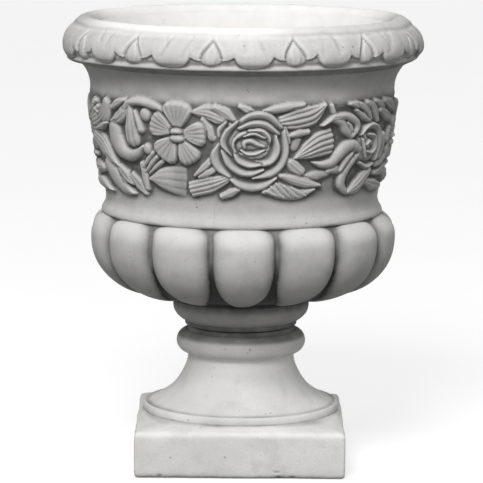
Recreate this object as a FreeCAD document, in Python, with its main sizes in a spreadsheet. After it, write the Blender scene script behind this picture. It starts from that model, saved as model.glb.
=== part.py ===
import FreeCAD, Part
import math
import os
import re
import Sketcher

# A cast concrete garden urn in two castings: a hollow bowl with a rolled rim, a frieze wall and a
# gadrooned belly, and a pedestal with a torus, a flared stem and a square plinth. Origin at the centre
# of the underside of the plinth, +Z up, the front of the urn faces -Y.

doc = FreeCAD.newDocument("garden_urn")
sheet = doc.addObject("Spreadsheet::Sheet", "sizes")

driving_sizes = [
    ("plinth_width", 228, "side of the square plinth"),
    ("plinth_height", 49, "underside to the top edge of the plinth"),
    ("plinth_corner_radius", 9, "upright corners of the plinth"),
    ("plinth_foot_bevel", 4, "bevel round the underside"),
    ("weathering_rise", 9, "sloped top of the plinth up to the ring"),
    ("ring_ledge", 1.5, "narrow ledge round the foot of the ring"),
    ("ring_setback", 3, "flat ring step behind the side of the plinth"),
    ("ring_height", 9.5, "height of the ring step"),
    ("ring_step", 6, "foot of the flared stem behind the edge of the ring"),
    ("scotia_height", 46.5, "hollow flare from ring to stem"),
    ("stem_radius", 59.5, "narrowest part of the stem"),
    ("stem_height", 6, "straight stem under the torus"),
    ("torus_height", 28, "height of the round torus"),
    ("torus_bulge", 12.7, "how far the torus stands out from the stem"),
    ("seat_height", 3.5, "flat seat above the torus"),
    ("seat_step", 1, "seat of the pedestal and foot of the bowl outside the stem"),
    ("bedding_thickness", 2, "soft ring between the castings"),
    ("bedding_setback", 4, "ring edge behind the seat edge"),
    ("bedding_width", 16, "width of the soft ring"),
    ("collar_step", 15.5, "collar under the belly outside the seat"),
    ("collar_height", 34.5, "foot of the bowl to the underside of the belly"),
    ("collar_round_height", 17, "rounded lower part of the collar"),
    ("belly_depth", 69, "underside of the belly to its widest level"),
    ("belly_swell", 18.5, "crown of the gadroons outside the waist"),
    ("lobe_tip_gap", 11, "collar to the tip of a gadroon"),
    ("groove_depth", 12, "crown of a gadroon to the groove floor"),
    ("lobe_root_depth", 3, "how far a gadroon is sunk below the groove floor"),
    ("lobe_count", 14, "gadroons round the belly"),
    ("shoulder_height", 24.5, "widest level to the bead"),
    ("bead_ledge", 3, "narrow ledge under the bead"),
    ("bead_height", 7, "bead between belly and frieze"),
    ("bead_bulge", 3.4, "how far the bead stands out"),
    ("waist_height", 20.5, "hollow waist above the bead"),
    ("waist_radius", 153, "wall at the lower and upper edge of the waist"),
    ("waist_hollow", 1.8, "depth of the hollow waist"),
    ("frieze_height", 107, "height of the relief band"),
    ("relief_height", 7, "flowers and leaves over the ground of the frieze"),
    ("relief_root", 7, "how far round petals are rooted in the wall"),
    ("frieze_flare", 16.5, "foot of the neck outside the waist"),
    ("neck_height", 29, "hollow neck under the lip"),
    ("neck_flare", 10, "head of the neck outside its foot"),
    ("lip_overhang", 16.5, "lower edge of the lip outside the neck"),
    ("lip_undercut", 11.5, "rise of the underside of the lip from the neck to its edge"),
    ("rim_height", 35, "lower lip edge to the rim shoulder"),
    ("rim_bulge", 7.4, "roll of the rim"),
    ("rim_lean", 6, "rim shoulder behind the lower lip edge"),
    ("crown_rise", 8.5, "rim shoulder to the top ridge"),
    ("crown_run", 15, "rim shoulder in to the top ridge"),
    ("mouth_drop", 10, "top ridge to the edge of the mouth"),
    ("mouth_run", 11, "top ridge in to the edge of the mouth"),
    ("wall_thickness", 27, "wall at neck and waist"),
    ("floor_thickness", 27, "floor of the hollow over the collar"),
    ("floor_corner", 30, "round corner of the hollow"),
    ("hollow_taper", 18, "hollow over its round corner inside the hollow at the waist"),
    ("spout_radius", 20, "outside of the drain tube"),
    ("spout_wall", 3, "wall of the drain tube"),
    ("spout_drop", 38, "drain tube below the foot of the bowl"),
    ("flange_radius", 31, "flange that keys the drain tube into the floor"),
    ("flange_thickness", 5, "thickness of that flange"),
    ("socket_clearance", 1.5, "gap round the drain tube in the pedestal"),
    ("socket_floor_gap", 3, "end of the drain tube to the socket floor"),
    ("drain_radius", 18, "drain bore through the plinth"),
    ("screen_radius", 38, "drain screen"),
    ("screen_thickness", 4, "drain screen"),
    ("screen_hole_radius", 3, "holes of the drain screen"),
    ("screen_ring_radius", 27, "ring of holes in the drain screen"),
    ("screen_inner_radius", 16, "inner ring of holes"),
    ("screen_hole_count", 12, "holes in the outer ring"),
    ("screen_inner_count", 6, "holes in the inner ring"),
    ("knob_radius", 6, "lifting knob of the drain screen"),
    ("knob_height", 12, "lifting knob of the drain screen"),
    ("wire_radius", 2.5, "steel in the bowl wall"),
    ("hoop_end_gap", 5, "hoops from the ends of the wall bars"),
    ("hoop_bar_gap", 1.2, "concrete between a hoop and the wall bars"),
    ("bar_head_rise", 20, "wall bars above the foot of the neck"),
    ("bar_foot_gap", 8, "wall bars below the waist"),
    ("bar_count", 8, "bars round the bowl wall"),
    ("stem_bar_radius", 4, "steel in the stem"),
    ("stem_bar_setback", 18.5, "stem bars behind the face of the stem"),
    ("stem_bar_cover", 14, "concrete over the ends of the stem bars"),
    ("stem_bar_count", 4, "bars in the stem"),
    ("plinth_hoop_radius", 3, "steel hoop in the plinth"),
    ("plinth_hoop_cover", 24, "concrete outside the plinth hoop"),
    ("plinth_hoop_level", 26, "plinth hoop over the underside"),
    ("plinth_hoop_bend", 22, "corner bend of the plinth hoop"),
    ("overrun", 10, "how far cuts run past the solid"),
]

# Height of an arc over its chord, as a share of the chord: a quarter circle, and the flatter curves.
quarter_share = (math.sqrt(2) - 1) / 2
scotia_share = 0.17
collar_share = 0.07
neck_share = 0.14
crown_share = 0.10
mouth_share = 0.17

# Stations of one gadroon: height share of the shoulder (up) or of the belly (down) from the widest
# level, and width share of the sector.
lobe_station_shares = [
    (0.95, 0.40),
    (0.85, 0.70),
    (0.55, 0.90),
    (0.0, 0.97),
    (-0.45, 0.97),
    (-0.75, 0.96),
    (-0.92, 0.90),
    (-0.985, 0.78),
]

# Leaves of the frieze, which come twice round the bowl. Each is turned from the front by so many
# degrees, then has its level, half length and half width as shares of the height of the frieze, its
# lean in degrees, and its height as a share of the relief.
leaf_shares = [
    (-80, 0.83, 0.24, 0.10, 24, 0.9),
    (-79, 0.52, 0.20, 0.095, 20, 0.9),
    (-80, 0.23, 0.20, 0.09, -8, 0.9),
    (-66, 0.79, 0.23, 0.115, 40, 0.95),
    (-64, 0.43, 0.27, 0.115, -28, 1.0),
    (-56, 0.17, 0.28, 0.105, -28, 1.0),
    (-51, 0.22, 0.13, 0.075, -37, 0.9),
    (-54.5, 0.58, 0.19, 0.115, -62, 1.1),
    (-47, 0.45, 0.20, 0.085, 2, 1.0),
    (-45, 0.70, 0.22, 0.10, 90, 1.05),
    (-51.5, 0.82, 0.19, 0.075, 35, 0.95),
    (-39.5, 0.92, 0.22, 0.06, 0, 0.65),
    (-40.5, 0.23, 0.15, 0.06, 82, 0.8),
    (-36.5, 0.38, 0.13, 0.06, 50, 0.8),
    (-29, 0.22, 0.25, 0.115, 0, 0.95),
    (-11, 0.87, 0.21, 0.07, -17, 0.8),
    (-14, 0.36, 0.15, 0.065, 45, 0.8),
    (-12.5, 0.20, 0.23, 0.105, 22, 0.95),
    (14.5, 0.91, 0.22, 0.06, 9, 0.65),
    (23, 0.80, 0.25, 0.11, 22, 0.95),
    (28.5, 0.57, 0.24, 0.115, 24, 1.05),
    (20, 0.38, 0.14, 0.065, -40, 0.85),
    (19.5, 0.17, 0.30, 0.115, 6, 0.95),
    (38, 0.85, 0.17, 0.065, 4, 0.78),
    (44.5, 0.73, 0.16, 0.07, -72, 0.9),
    (34, 0.40, 0.18, 0.075, 6, 0.9),
    (42, 0.51, 0.19, 0.095, 45, 1.1),
    (43.5, 0.26, 0.20, 0.075, 88, 0.9),
    (53, 0.18, 0.21, 0.095, 32, 0.9),
    (53, 0.84, 0.16, 0.06, -48, 0.8),
    (66, 0.83, 0.18, 0.07, -20, 0.85),
    (66, 0.12, 0.19, 0.075, -12, 0.85),
    (68, 0.42, 0.16, 0.06, 72, 0.85),
    (82, 0.16, 0.16, 0.085, -12, 0.85),
]

# Round petals of the open flower: turn from the front in degrees, level and radius as shares of the
# height of the frieze, and height as a share of the relief. The last is the boss in the middle.
petal_shares = [
    (-24, 0.89, 0.135, 1.1),
    (-32, 0.77, 0.125, 1.1),
    (-29, 0.54, 0.13, 1.1),
    (-21, 0.53, 0.12, 1.1),
    (-17, 0.71, 0.13, 1.1),
    (-24.8, 0.72, 0.06, 1.5),
]

# Rosettes: turn from the front in degrees, level share, and then rings of round petals: how many, their
# distance from the heart and their radius as shares of the height of the frieze, and their height as a
# share of the relief.
rosette_shares = [
    (3.4, 0.54, [(5, 0.22, 0.18, 0.9), (4, 0.12, 0.12, 1.15), (1, 0.0, 0.065, 1.35)]),
    (57, 0.54, [(4, 0.11, 0.115, 0.95), (1, 0.0, 0.08, 1.2)]),
    (80, 0.53, [(5, 0.14, 0.115, 0.95), (1, 0.0, 0.06, 1.3)]),
]

# Even middle part of a leaf and place of its shoulder as shares of its half length, how much of its fall
# lies before the shoulder, and height of the edge of a petal as a share of its middle.
leaf_even_share = 0.3
leaf_shoulder_share = 0.7
shoulder_fall_share = 0.3
petal_edge_share = 0.3

for row, (alias, number, meaning) in enumerate(driving_sizes, start=1):
    sheet.set(f"A{row}", alias)
    sheet.set(f"B{row}", str(number))
    sheet.set(f"C{row}", meaning)
    sheet.setAlias(f"B{row}", alias)
doc.recompute()

aliases = {alias for alias, number, meaning in driving_sizes}

# Levels above the ground, each built on the one below it.
plinth_top = "plinth_height"
ring_foot = f"({plinth_top} + weathering_rise)"
ring_top = f"({ring_foot} + ring_height)"
scotia_top = f"({ring_top} + scotia_height)"
torus_foot = f"({scotia_top} + stem_height)"
torus_top = f"({torus_foot} + torus_height)"
seat_top = f"({torus_top} + seat_height)"
bowl_foot = f"({seat_top} + bedding_thickness)"
collar_top = f"({bowl_foot} + collar_height)"
belly_level = f"({collar_top} + belly_depth)"
bead_foot = f"({belly_level} + shoulder_height)"
bead_top = f"({bead_foot} + bead_height)"
waist_top = f"({bead_top} + waist_height)"
frieze_top = f"({waist_top} + frieze_height)"
lip_root = f"({frieze_top} + neck_height)"
lip_edge = f"({lip_root} + lip_undercut)"
rim_shoulder = f"({lip_edge} + rim_height)"
ridge_top = f"({rim_shoulder} + crown_rise)"
floor_top = f"({collar_top} + floor_thickness)"

# Radii of the pedestal, stepped in from the plinth and out from the stem.
ring_radius = "(plinth_width / 2 - ring_setback)"
socle_radius = f"({ring_radius} - ring_step)"
seat_radius = "(stem_radius + seat_step)"
collar_radius = f"({seat_radius} + collar_step)"

# Radii of the bowl, stepped out and in from the waist.
bead_root_radius = "(waist_radius - bead_ledge)"
lobe_radius = "(waist_radius + belly_swell)"
neck_radius = "(waist_radius + frieze_flare)"
lip_root_radius = f"({neck_radius} + neck_flare)"
lip_edge_radius = f"({lip_root_radius} + lip_overhang)"
shoulder_radius = f"({lip_edge_radius} - rim_lean)"
ridge_radius = f"({shoulder_radius} - crown_run)"
mouth_radius = f"({ridge_radius} - mouth_run)"
hollow_foot_radius = "(waist_radius - wall_thickness - hollow_taper)"


def bind(text):
    """Expression in which every size is read from the sheet."""
    return re.sub(r"[a-z_]+", lambda word: f"sizes.{word[0]}" if word[0] in aliases else word[0], text)


def value(text):
    return float(sheet.evalExpression(bind(text)))


def drive(item, property_path, text):
    item.setExpression(property_path, bind(text))


def origin_item(body, role):
    return next(item for item in body.Origin.OriginFeatures if item.Role == role)


def arc_between(start, end, share):
    """Arc from start to end that stands to the right of the way by a share of the chord."""
    run = end - start
    size = abs(share)
    radius = run.Length * (1 / (8 * size) + size / 2)
    side = FreeCAD.Vector(run.y, -run.x, 0).normalize() * math.copysign(1, share)
    centre = (start + end) / 2 + side * (run.Length * size - radius)
    first, last = (start, end) if share > 0 else (end, start)
    low = math.atan2(first.y - centre.y, first.x - centre.x)
    high = math.atan2(last.y - centre.y, last.x - centre.x)
    turn = high if high > low else high + 2 * math.pi
    return Part.ArcOfCircle(Part.Circle(centre, FreeCAD.Vector(0, 0, 1), radius), low, turn)


def place_point(sketch, edge, end, point):
    """Ties the end of an edge to the two expressions of a point."""
    for kind, text in zip(("DistanceX", "DistanceY"), point):
        number = value(text)
        if number < 0:
            tie = Sketcher.Constraint(kind, edge, end, -1, 1, -number)
            text = f"-({text})"
        else:
            tie = Sketcher.Constraint(kind, -1, 1, edge, end, number)
        index = sketch.addConstraint(tie)
        if number:
            drive(sketch, f"Constraints[{index}]", text)


def new_sketch(body, name, role, level=None):
    sketch = body.newObject("Sketcher::SketchObject", name)
    sketch.AttachmentSupport = (origin_item(body, role), [""])
    sketch.MapMode = "FlatFace"
    if level:
        drive(sketch, "AttachmentOffset.Base.z", level)
    return sketch


def outline(body, name, role, corners, level=None):
    """Closed outline through corners (x, y, share): a share bends the edge that leaves the corner."""
    sketch = new_sketch(body, name, role, level)
    spots = [FreeCAD.Vector(value(x), value(y), 0) for x, y, share in corners]
    bends = [value(str(share)) if share else 0 for x, y, share in corners]
    count = len(corners)
    ends = []
    for i, bend in enumerate(bends):
        start, end = spots[i], spots[(i + 1) % count]
        edge = arc_between(start, end, bend) if bend else Part.LineSegment(start, end)
        sketch.addGeometry(edge, False)
        ends.append((2, 1) if bend < 0 else (1, 2))
    for i, (x, y, share) in enumerate(corners):
        after = (i + 1) % count
        place_point(sketch, i, ends[i][0], (x, y))
        sketch.addConstraint(Sketcher.Constraint("Coincident", i, ends[i][1], after, ends[after][0]))
        if share:
            next_x, next_y, next_share = corners[after]
            chord = f"sqrt(({next_x} - ({x}))^2 + ({next_y} - ({y}))^2)"
            radius = f"{chord} * (1 / (8 * abs({share})) + abs({share}) / 2)"
            index = sketch.addConstraint(Sketcher.Constraint("Radius", i, value(radius)))
            drive(sketch, f"Constraints[{index}]", radius)
    return sketch


def circle_sketch(body, name, role, centre, radius, level=None):
    sketch = new_sketch(body, name, role, level)
    middle = FreeCAD.Vector(value(centre[0]), value(centre[1]), 0)
    upright = FreeCAD.Vector(0, 0, 1)
    sketch.addGeometry(Part.Circle(middle, upright, value(radius)), False)
    place_point(sketch, 0, 3, centre)
    index = sketch.addConstraint(Sketcher.Constraint("Radius", 0, value(radius)))
    drive(sketch, f"Constraints[{index}]", radius)
    return sketch


def new_body(name):
    body = doc.addObject("PartDesign::Body", name)
    body.Label = name
    return body


def revolve(body, kind, name, corners):
    """Turns an outline of (radius, height, share) corners about the axis of the urn."""
    sketch = outline(body, f"{name}_outline", "XZ_Plane", corners)
    feature = body.newObject(kind, name)
    feature.Profile = sketch
    feature.ReferenceAxis = (sketch, ["V_Axis"])
    feature.Angle = 360
    doc.recompute()
    return feature


def polar_pattern(body, name, original, count):
    pattern = body.newObject("PartDesign::PolarPattern", name)
    pattern.Originals = [original]
    pattern.Axis = (origin_item(body, "Z_Axis"), [""])
    pattern.Angle = 360
    drive(pattern, "Occurrences", count)
    body.Tip = pattern
    doc.recompute()
    return pattern


def rounded_square(body, name, half, radius, level=None):
    """Square outline about the axis with rounded corners, in the ground plane."""
    inner = f"({half} - {radius})"
    corners = []
    for x_sign, y_sign in ((1, -1), (1, 1), (-1, 1), (-1, -1)):
        along = (f"{x_sign} * {inner}", f"{y_sign} * {half}", quarter_share)
        across = (f"{x_sign} * {half}", f"{y_sign} * {inner}", quarter_share)
        first, last = (along, across) if x_sign * y_sign < 0 else (across, along)
        corners.append(first)
        corners.append((last[0], last[1], None))
    return outline(body, name, "XY_Plane", corners, level)


def matching_circle(body, name, half, radius, circle_radius, level):
    """Circle in eight arcs whose ends lie in the directions of the ends of a rounded square."""
    lean = f"atan(({half} - {radius}) / {half})"
    corners = []
    for i in range(4):
        for turn, spread in ((f"({lean} + {i - 1} * 90deg)", f"(45deg - {lean})"),
                             (f"({i} * 90deg - {lean})", lean)):
            corners.append((f"({circle_radius}) * cos({turn})", f"({circle_radius}) * sin({turn})",
                            f"(tan({spread} / 2) / 2)"))
    return outline(body, name, "XY_Plane", corners, level)


def pad(body, name, sketch, length):
    feature = body.newObject("PartDesign::Pad", name)
    feature.Profile = sketch
    drive(feature, "Length", length)
    doc.recompute()
    return feature


def bevel_underside(body, name, base, size):
    """Bevels every edge of the lowest face of a feature."""
    levels = [face.CenterOfMass.z for face in base.Shape.Faces]
    feature = body.newObject("PartDesign::Chamfer", name)
    feature.Base = (base, [f"Face{levels.index(min(levels)) + 1}"])
    drive(feature, "Size", size)
    doc.recompute()


def make_pedestal():
    body = new_body("pedestal_form")
    half = "(plinth_width / 2)"
    square = rounded_square(body, "plinth_outline", half, "plinth_corner_radius")
    plinth = pad(body, "plinth", square, "plinth_height")
    bevel_underside(body, "plinth_bevel", plinth, "plinth_foot_bevel")
    edge = rounded_square(body, "plinth_edge", half, "plinth_corner_radius", plinth_top)
    ledge_radius = f"{ring_radius} + ring_ledge"
    ledge = matching_circle(body, "ledge_edge", half, "plinth_corner_radius", ledge_radius, ring_foot)
    slope = body.newObject("PartDesign::AdditiveLoft", "weathering")
    slope.Profile = edge
    slope.Sections = [ledge]
    slope.Ruled = True
    doc.recompute()
    revolve(body, "PartDesign::Revolution", "stem", [
        ("drain_radius", plinth_top, None),
        (ring_radius, plinth_top, None),
        (ring_radius, ring_top, None),
        (socle_radius, ring_top, -scotia_share),
        ("stem_radius", scotia_top, None),
        ("stem_radius", torus_foot, "(torus_bulge / torus_height)"),
        ("stem_radius", torus_top, None),
        (seat_radius, seat_top, None),
        ("drain_radius", seat_top, None),
    ])
    socket_radius = "(spout_radius + socket_clearance)"
    socket_floor = f"({bowl_foot} - spout_drop - socket_floor_gap)"
    before = body.Shape.Volume
    revolve(body, "PartDesign::Groove", "drain", [
        ("0", "-overrun", None),
        ("drain_radius", "-overrun", None),
        ("drain_radius", socket_floor, None),
        (socket_radius, socket_floor, None),
        (socket_radius, f"{seat_top} + overrun", None),
        ("0", f"{seat_top} + overrun", None),
    ])
    assert body.Shape.Volume < before, "the drain bore cuts nothing"
    return body


def gadroon_section(body, index, height_share, width_share):
    """Level cut through one gadroon: a straight root inside the wall and a round crown at the front."""
    flat = math.sqrt(1 - height_share ** 2)
    root_depth = "(groove_depth + lobe_root_depth)"
    if height_share < 0:
        level = f"{belly_level} + {height_share} * belly_depth"
        tip = f"({collar_radius} + lobe_tip_gap)"
        crown = f"({tip} + ({lobe_radius} - {tip}) * {flat})"
        root = f"({collar_radius} + ({lobe_radius} - {root_depth} - {collar_radius}) * {flat})"
    else:
        level = f"{belly_level} + {height_share} * shoulder_height"
        crown = f"({bead_root_radius} + ({lobe_radius} - {bead_root_radius}) * {flat})"
        root = f"({crown} - {root_depth})"
    half = f"({width_share} * {root} * tan(180deg / lobe_count))"
    round_share = f"(({crown} - {root}) / (2 * {half}))"
    corners = [(f"-{half}", f"-{root}", round_share), (half, f"-{root}", None)]
    return outline(body, f"gadroon_cut_{index}", "XY_Plane", corners, level)


def make_bowl():
    body = new_body("bowl_form")
    floor_corner_top = f"({floor_top} + floor_corner)"
    hollow_share = "-(waist_hollow / waist_height)"
    revolve(body, "PartDesign::Revolution", "wall", [
        ("spout_radius - spout_wall", bowl_foot, None),
        (seat_radius, bowl_foot, collar_share),
        (collar_radius, f"{bowl_foot} + collar_round_height", None),
        (collar_radius, collar_top, quarter_share),
        (f"{lobe_radius} - groove_depth", belly_level, None),
        (bead_root_radius, bead_foot, None),
        ("waist_radius", bead_foot, "(bead_bulge / bead_height)"),
        ("waist_radius", bead_top, hollow_share),
        ("waist_radius", waist_top, None),
        (neck_radius, frieze_top, -neck_share),
        (lip_root_radius, lip_root, None),
        (lip_edge_radius, lip_edge, "(rim_bulge / rim_height)"),
        (shoulder_radius, rim_shoulder, crown_share),
        (ridge_radius, ridge_top, mouth_share),
        (mouth_radius, f"{ridge_top} - mouth_drop", None),
        (f"{neck_radius} - wall_thickness", frieze_top, None),
        ("waist_radius - wall_thickness", bead_top, None),
        (hollow_foot_radius, floor_corner_top, -quarter_share),
        (f"{hollow_foot_radius} - floor_corner", floor_top, None),
        ("spout_radius - spout_wall", floor_top, None),
    ])
    cuts = [gadroon_section(body, i, *shares) for i, shares in enumerate(lobe_station_shares, start=1)]
    doc.recompute()
    gadroon = body.newObject("PartDesign::AdditiveLoft", "gadroon")
    gadroon.Profile = cuts[0]
    gadroon.Sections = cuts[1:]
    doc.recompute()
    polar_pattern(body, "gadroons", gadroon, "lobe_count")
    return body


def frieze_ground(level_share):
    return value("waist_radius") + value("frieze_flare") * level_share


def frieze_place(turn, level_share):
    """Place on the ground of the frieze in which -Y points out of the wall."""
    band = value("frieze_height")
    around = FreeCAD.Rotation(FreeCAD.Vector(0, 0, 1), turn)
    slope = FreeCAD.Rotation(FreeCAD.Vector(1, 0, 0), math.degrees(math.atan(value("frieze_flare") / band)))
    spot = FreeCAD.Vector(0, -frieze_ground(level_share), value(waist_top) + level_share * band)
    return FreeCAD.Placement(around.multVec(spot), around * slope)


def leaf_form(turn, level_share, length_share, width_share, lean, height_share):
    """Leaf with two rounded points, turned about its own length, whose tips end in the wall."""
    band = value("frieze_height")
    half_length, half_width = length_share * band, width_share * band
    height = height_share * value("relief_height")
    radius = (half_width ** 2 + height ** 2) / (2 * height)
    even, shoulder = leaf_even_share * half_length, leaf_shoulder_share * half_length
    fall = height + (half_length * math.cos(math.radians(lean))) ** 2 / (2 * frieze_ground(level_share))
    shoulder_radius = radius - shoulder_fall_share * fall
    tip = shoulder + shoulder_radius * (half_length - shoulder) / (fall - shoulder_fall_share * fall)
    side = [(even, radius), (shoulder, shoulder_radius), (tip, 0)]
    outline = [(-x, z) for x, z in reversed(side)] + side
    corners = [FreeCAD.Vector(x, 0, z) for x, z in outline]
    section = Part.Face(Part.makePolygon(corners + corners[:1]))
    leaf = section.revolve(FreeCAD.Vector(0, 0, 0), FreeCAD.Vector(1, 0, 0), 360)
    tilt = FreeCAD.Rotation(FreeCAD.Vector(0, -1, 0), lean)
    sunk = FreeCAD.Placement(FreeCAD.Vector(0, radius - height, 0), tilt)
    leaf.Placement = frieze_place(turn, level_share) * sunk
    return leaf


def petal_form(turn, level_share, radius_share, height_share):
    """Round petal: a low dome on a drum that is rooted in the wall."""
    radius = radius_share * value("frieze_height")
    height = height_share * value("relief_height")
    root = value("relief_root")
    crown, edge = FreeCAD.Vector(0, -height, 0), FreeCAD.Vector(radius, -petal_edge_share * height, 0)
    foot, middle = FreeCAD.Vector(radius, root, 0), FreeCAD.Vector(0, root, 0)
    dome_share = math.tan(math.atan((edge.y - crown.y) / radius) / 2) / 2
    section = Part.Wire([
        arc_between(crown, edge, dome_share).toShape(),
        Part.makeLine(edge, foot),
        Part.makeLine(foot, middle),
        Part.makeLine(middle, crown),
    ])
    petal = Part.Face(section).revolve(FreeCAD.Vector(0, 0, 0), FreeCAD.Vector(0, 1, 0), 360)
    petal.Placement = frieze_place(turn, level_share)
    return petal


def rosette_forms(turn, level_share, rings):
    forms = []
    for count, distance_share, radius_share, height_share in rings:
        for i in range(count):
            way = math.pi / 2 + 2 * math.pi * i / count
            level = level_share + distance_share * math.sin(way)
            along = distance_share * math.cos(way) * value("frieze_height") / frieze_ground(level)
            forms.append(petal_form(turn + math.degrees(along), level, radius_share, height_share))
    return forms


def make_carved_bowl():
    """The bowl with the flowers and leaves of its frieze, which come on two sides."""
    forms = [leaf_form(*shares) for shares in leaf_shares]
    forms += [petal_form(*shares) for shares in petal_shares]
    for shares in rosette_shares:
        forms += rosette_forms(*shares)
    half = forms[0].multiFuse(forms[1:])
    other = half.copy()
    other.rotate(FreeCAD.Vector(0, 0, 0), FreeCAD.Vector(0, 0, 1), 180)
    relief = doc.addObject("Part::Feature", "frieze_relief")
    relief.Shape = half.fuse(other)
    carved = doc.addObject("Part::Fuse", "carved_form")
    carved.Base = make_bowl()
    carved.Tool = relief
    return carved


def make_drain_spout():
    body = new_body("drain_spout")
    spout_end = f"({bowl_foot} - spout_drop)"
    flange_foot = f"({bowl_foot} + ({floor_top} - {bowl_foot} - flange_thickness) / 2)"
    flange_top = f"({flange_foot} + flange_thickness)"
    revolve(body, "PartDesign::Revolution", "tube", [
        ("spout_radius - spout_wall", spout_end, None),
        ("spout_radius", spout_end, None),
        ("spout_radius", flange_foot, None),
        ("flange_radius", flange_foot, None),
        ("flange_radius", flange_top, None),
        ("spout_radius", flange_top, None),
        ("spout_radius", floor_top, None),
        ("spout_radius - spout_wall", floor_top, None),
    ])
    return body


def make_bedding_ring():
    body = new_body("bedding_ring")
    outer = f"({seat_radius} - bedding_setback)"
    inner = f"({outer} - bedding_width)"
    revolve(body, "PartDesign::Revolution", "ring", [
        (inner, seat_top, None),
        (outer, seat_top, None),
        (outer, bowl_foot, None),
        (inner, bowl_foot, None),
    ])
    return body


def make_drain_screen():
    body = new_body("drain_screen")
    disc = circle_sketch(body, "disc_outline", "XY_Plane", ("0", "0"), "screen_radius", floor_top)
    pad(body, "disc", disc, "screen_thickness")
    stub = circle_sketch(body, "knob_outline", "XY_Plane", ("0", "0"), "knob_radius", floor_top)
    pad(body, "knob", stub, "screen_thickness + knob_height")
    rings = (
        ("outer", "screen_ring_radius", "screen_hole_count"),
        ("inner", "screen_inner_radius", "screen_inner_count"),
    )
    for name, distance, count in rings:
        before = body.Shape.Volume
        centre = (distance, "0")
        spot = circle_sketch(body, f"{name}_hole", "XY_Plane", centre, "screen_hole_radius", floor_top)
        hole = body.newObject("PartDesign::Pocket", f"{name}_cut")
        hole.Profile = spot
        hole.Reversed = True
        drive(hole, "Length", "screen_thickness + overrun")
        doc.recompute()
        polar_pattern(body, f"{name}_holes", hole, count)
        assert body.Shape.Volume < before, "the screen holes cut nothing"
    return body


# Levels of the ends of the wall bars, and the slope of the wall between them. Bars and hoops lie evenly
# on both sides of the middle of the wall.
wall_foot = f"({bead_top} - bar_foot_gap)"
wall_head = f"({frieze_top} + bar_head_rise)"
wall_rise = f"({frieze_top} - {bead_top})"
wall_slope = f"atan(frieze_flare / {wall_rise})"


def bar_line(level):
    """Radius of the wall bars at a level."""
    foot = "waist_radius - (wall_thickness + hoop_bar_gap) / 2 - wire_radius"
    return f"({foot} + frieze_flare * ({level} - {bead_top}) / {wall_rise})"


def make_hoop(name, level):
    """Wire hoop that stands just outside the wall bars."""
    hoop = doc.addObject("Part::Torus", name)
    hoop.Label = name
    drive(hoop, "Radius1", f"{bar_line(level)} + (2 * wire_radius + hoop_bar_gap) / cos({wall_slope})")
    drive(hoop, "Radius2", "wire_radius")
    drive(hoop, "Placement.Base.z", level)
    return hoop


def group(name, members):
    compound = doc.addObject("Part::Compound", name)
    compound.Label = name
    compound.Links = members
    return compound


def make_wall_bars():
    bars = []
    for i in range(int(value("bar_count"))):
        bar = doc.addObject("Part::Cylinder", f"wall_bar_{i + 1}")
        turn = f"({i} * 360deg / bar_count)"
        foot = bar_line(wall_foot)
        drive(bar, "Radius", "wire_radius")
        drive(bar, "Height", f"({wall_head} - {wall_foot}) / cos({wall_slope})")
        spot = f"vector({foot} * cos({turn}); {foot} * sin({turn}); {wall_foot})"
        lean = f"rotation(vector(0; 0; 1); {turn}) * rotation(vector(0; 1; 0); {wall_slope})"
        drive(bar, "Placement", f"placement({spot}; {lean})")
        bars.append(bar)
    return group("wall_bars", bars)


def make_stem_bars():
    bars = []
    for i in range(int(value("stem_bar_count"))):
        bar = doc.addObject("Part::Cylinder", f"stem_bar_{i + 1}")
        turn = f"({i} * 360deg / stem_bar_count)"
        drive(bar, "Radius", "stem_bar_radius")
        drive(bar, "Height", f"{seat_top} - 2 * stem_bar_cover")
        drive(bar, "Placement.Base.x", f"(stem_radius - stem_bar_setback) * cos({turn})")
        drive(bar, "Placement.Base.y", f"(stem_radius - stem_bar_setback) * sin({turn})")
        drive(bar, "Placement.Base.z", "stem_bar_cover")
        bars.append(bar)
    return group("stem_bars", bars)


def make_plinth_hoop():
    body = new_body("plinth_hoop")
    half = "(plinth_width / 2 - plinth_hoop_cover - plinth_hoop_radius)"
    path = rounded_square(body, "hoop_path", half, "plinth_hoop_bend", "plinth_hoop_level")
    centre = (half, "plinth_hoop_level")
    section = circle_sketch(body, "hoop_section", "XZ_Plane", centre, "plinth_hoop_radius")
    doc.recompute()
    pipe = body.newObject("PartDesign::AdditivePipe", "hoop_wire")
    pipe.Profile = section
    pipe.Spine = (path, [])
    doc.recompute()
    return body


def make_casting(name, form, cast_in):
    """A casting is its outer form less the pieces that are cast into it."""
    casting = doc.addObject("Part::Cut", name)
    casting.Label = name
    casting.Base = form
    casting.Tool = group(f"{name}_cast_in", cast_in)
    return casting


spout = make_drain_spout()
rim_hoop = make_hoop("rim_hoop", f"({wall_head} - hoop_end_gap)")
waist_hoop = make_hoop("waist_hoop", f"({wall_foot} + hoop_end_gap)")
wall_bars = make_wall_bars()
stem_bars = make_stem_bars()
plinth_hoop = make_plinth_hoop()

sub_parts = [
    make_casting("urn_bowl", make_carved_bowl(), [spout, rim_hoop, waist_hoop, wall_bars]),
    make_casting("pedestal", make_pedestal(), [stem_bars, plinth_hoop]),
    make_bedding_ring(),
    spout,
    make_drain_screen(),
    rim_hoop,
    waist_hoop,
    wall_bars,
    stem_bars,
    plinth_hoop,
]
doc.recompute()

for item in doc.Objects:
    assert "Invalid" not in item.State and "Error" not in item.State, f"{item.Label} failed"
for item in sub_parts:
    assert not item.Shape.isNull() and item.Shape.isValid(), f"{item.Label} has no valid shape"

os.makedirs("parts", exist_ok=True)
for item in sub_parts:
    item.Shape.exportStep(f"parts/{item.Label}.step")
    print(item.Label, len(item.Shape.Solids), item.Shape.Volume, item.Shape.BoundBox)
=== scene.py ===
import math

import bpy
import numpy as np
from mathutils import Matrix, Vector


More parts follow.
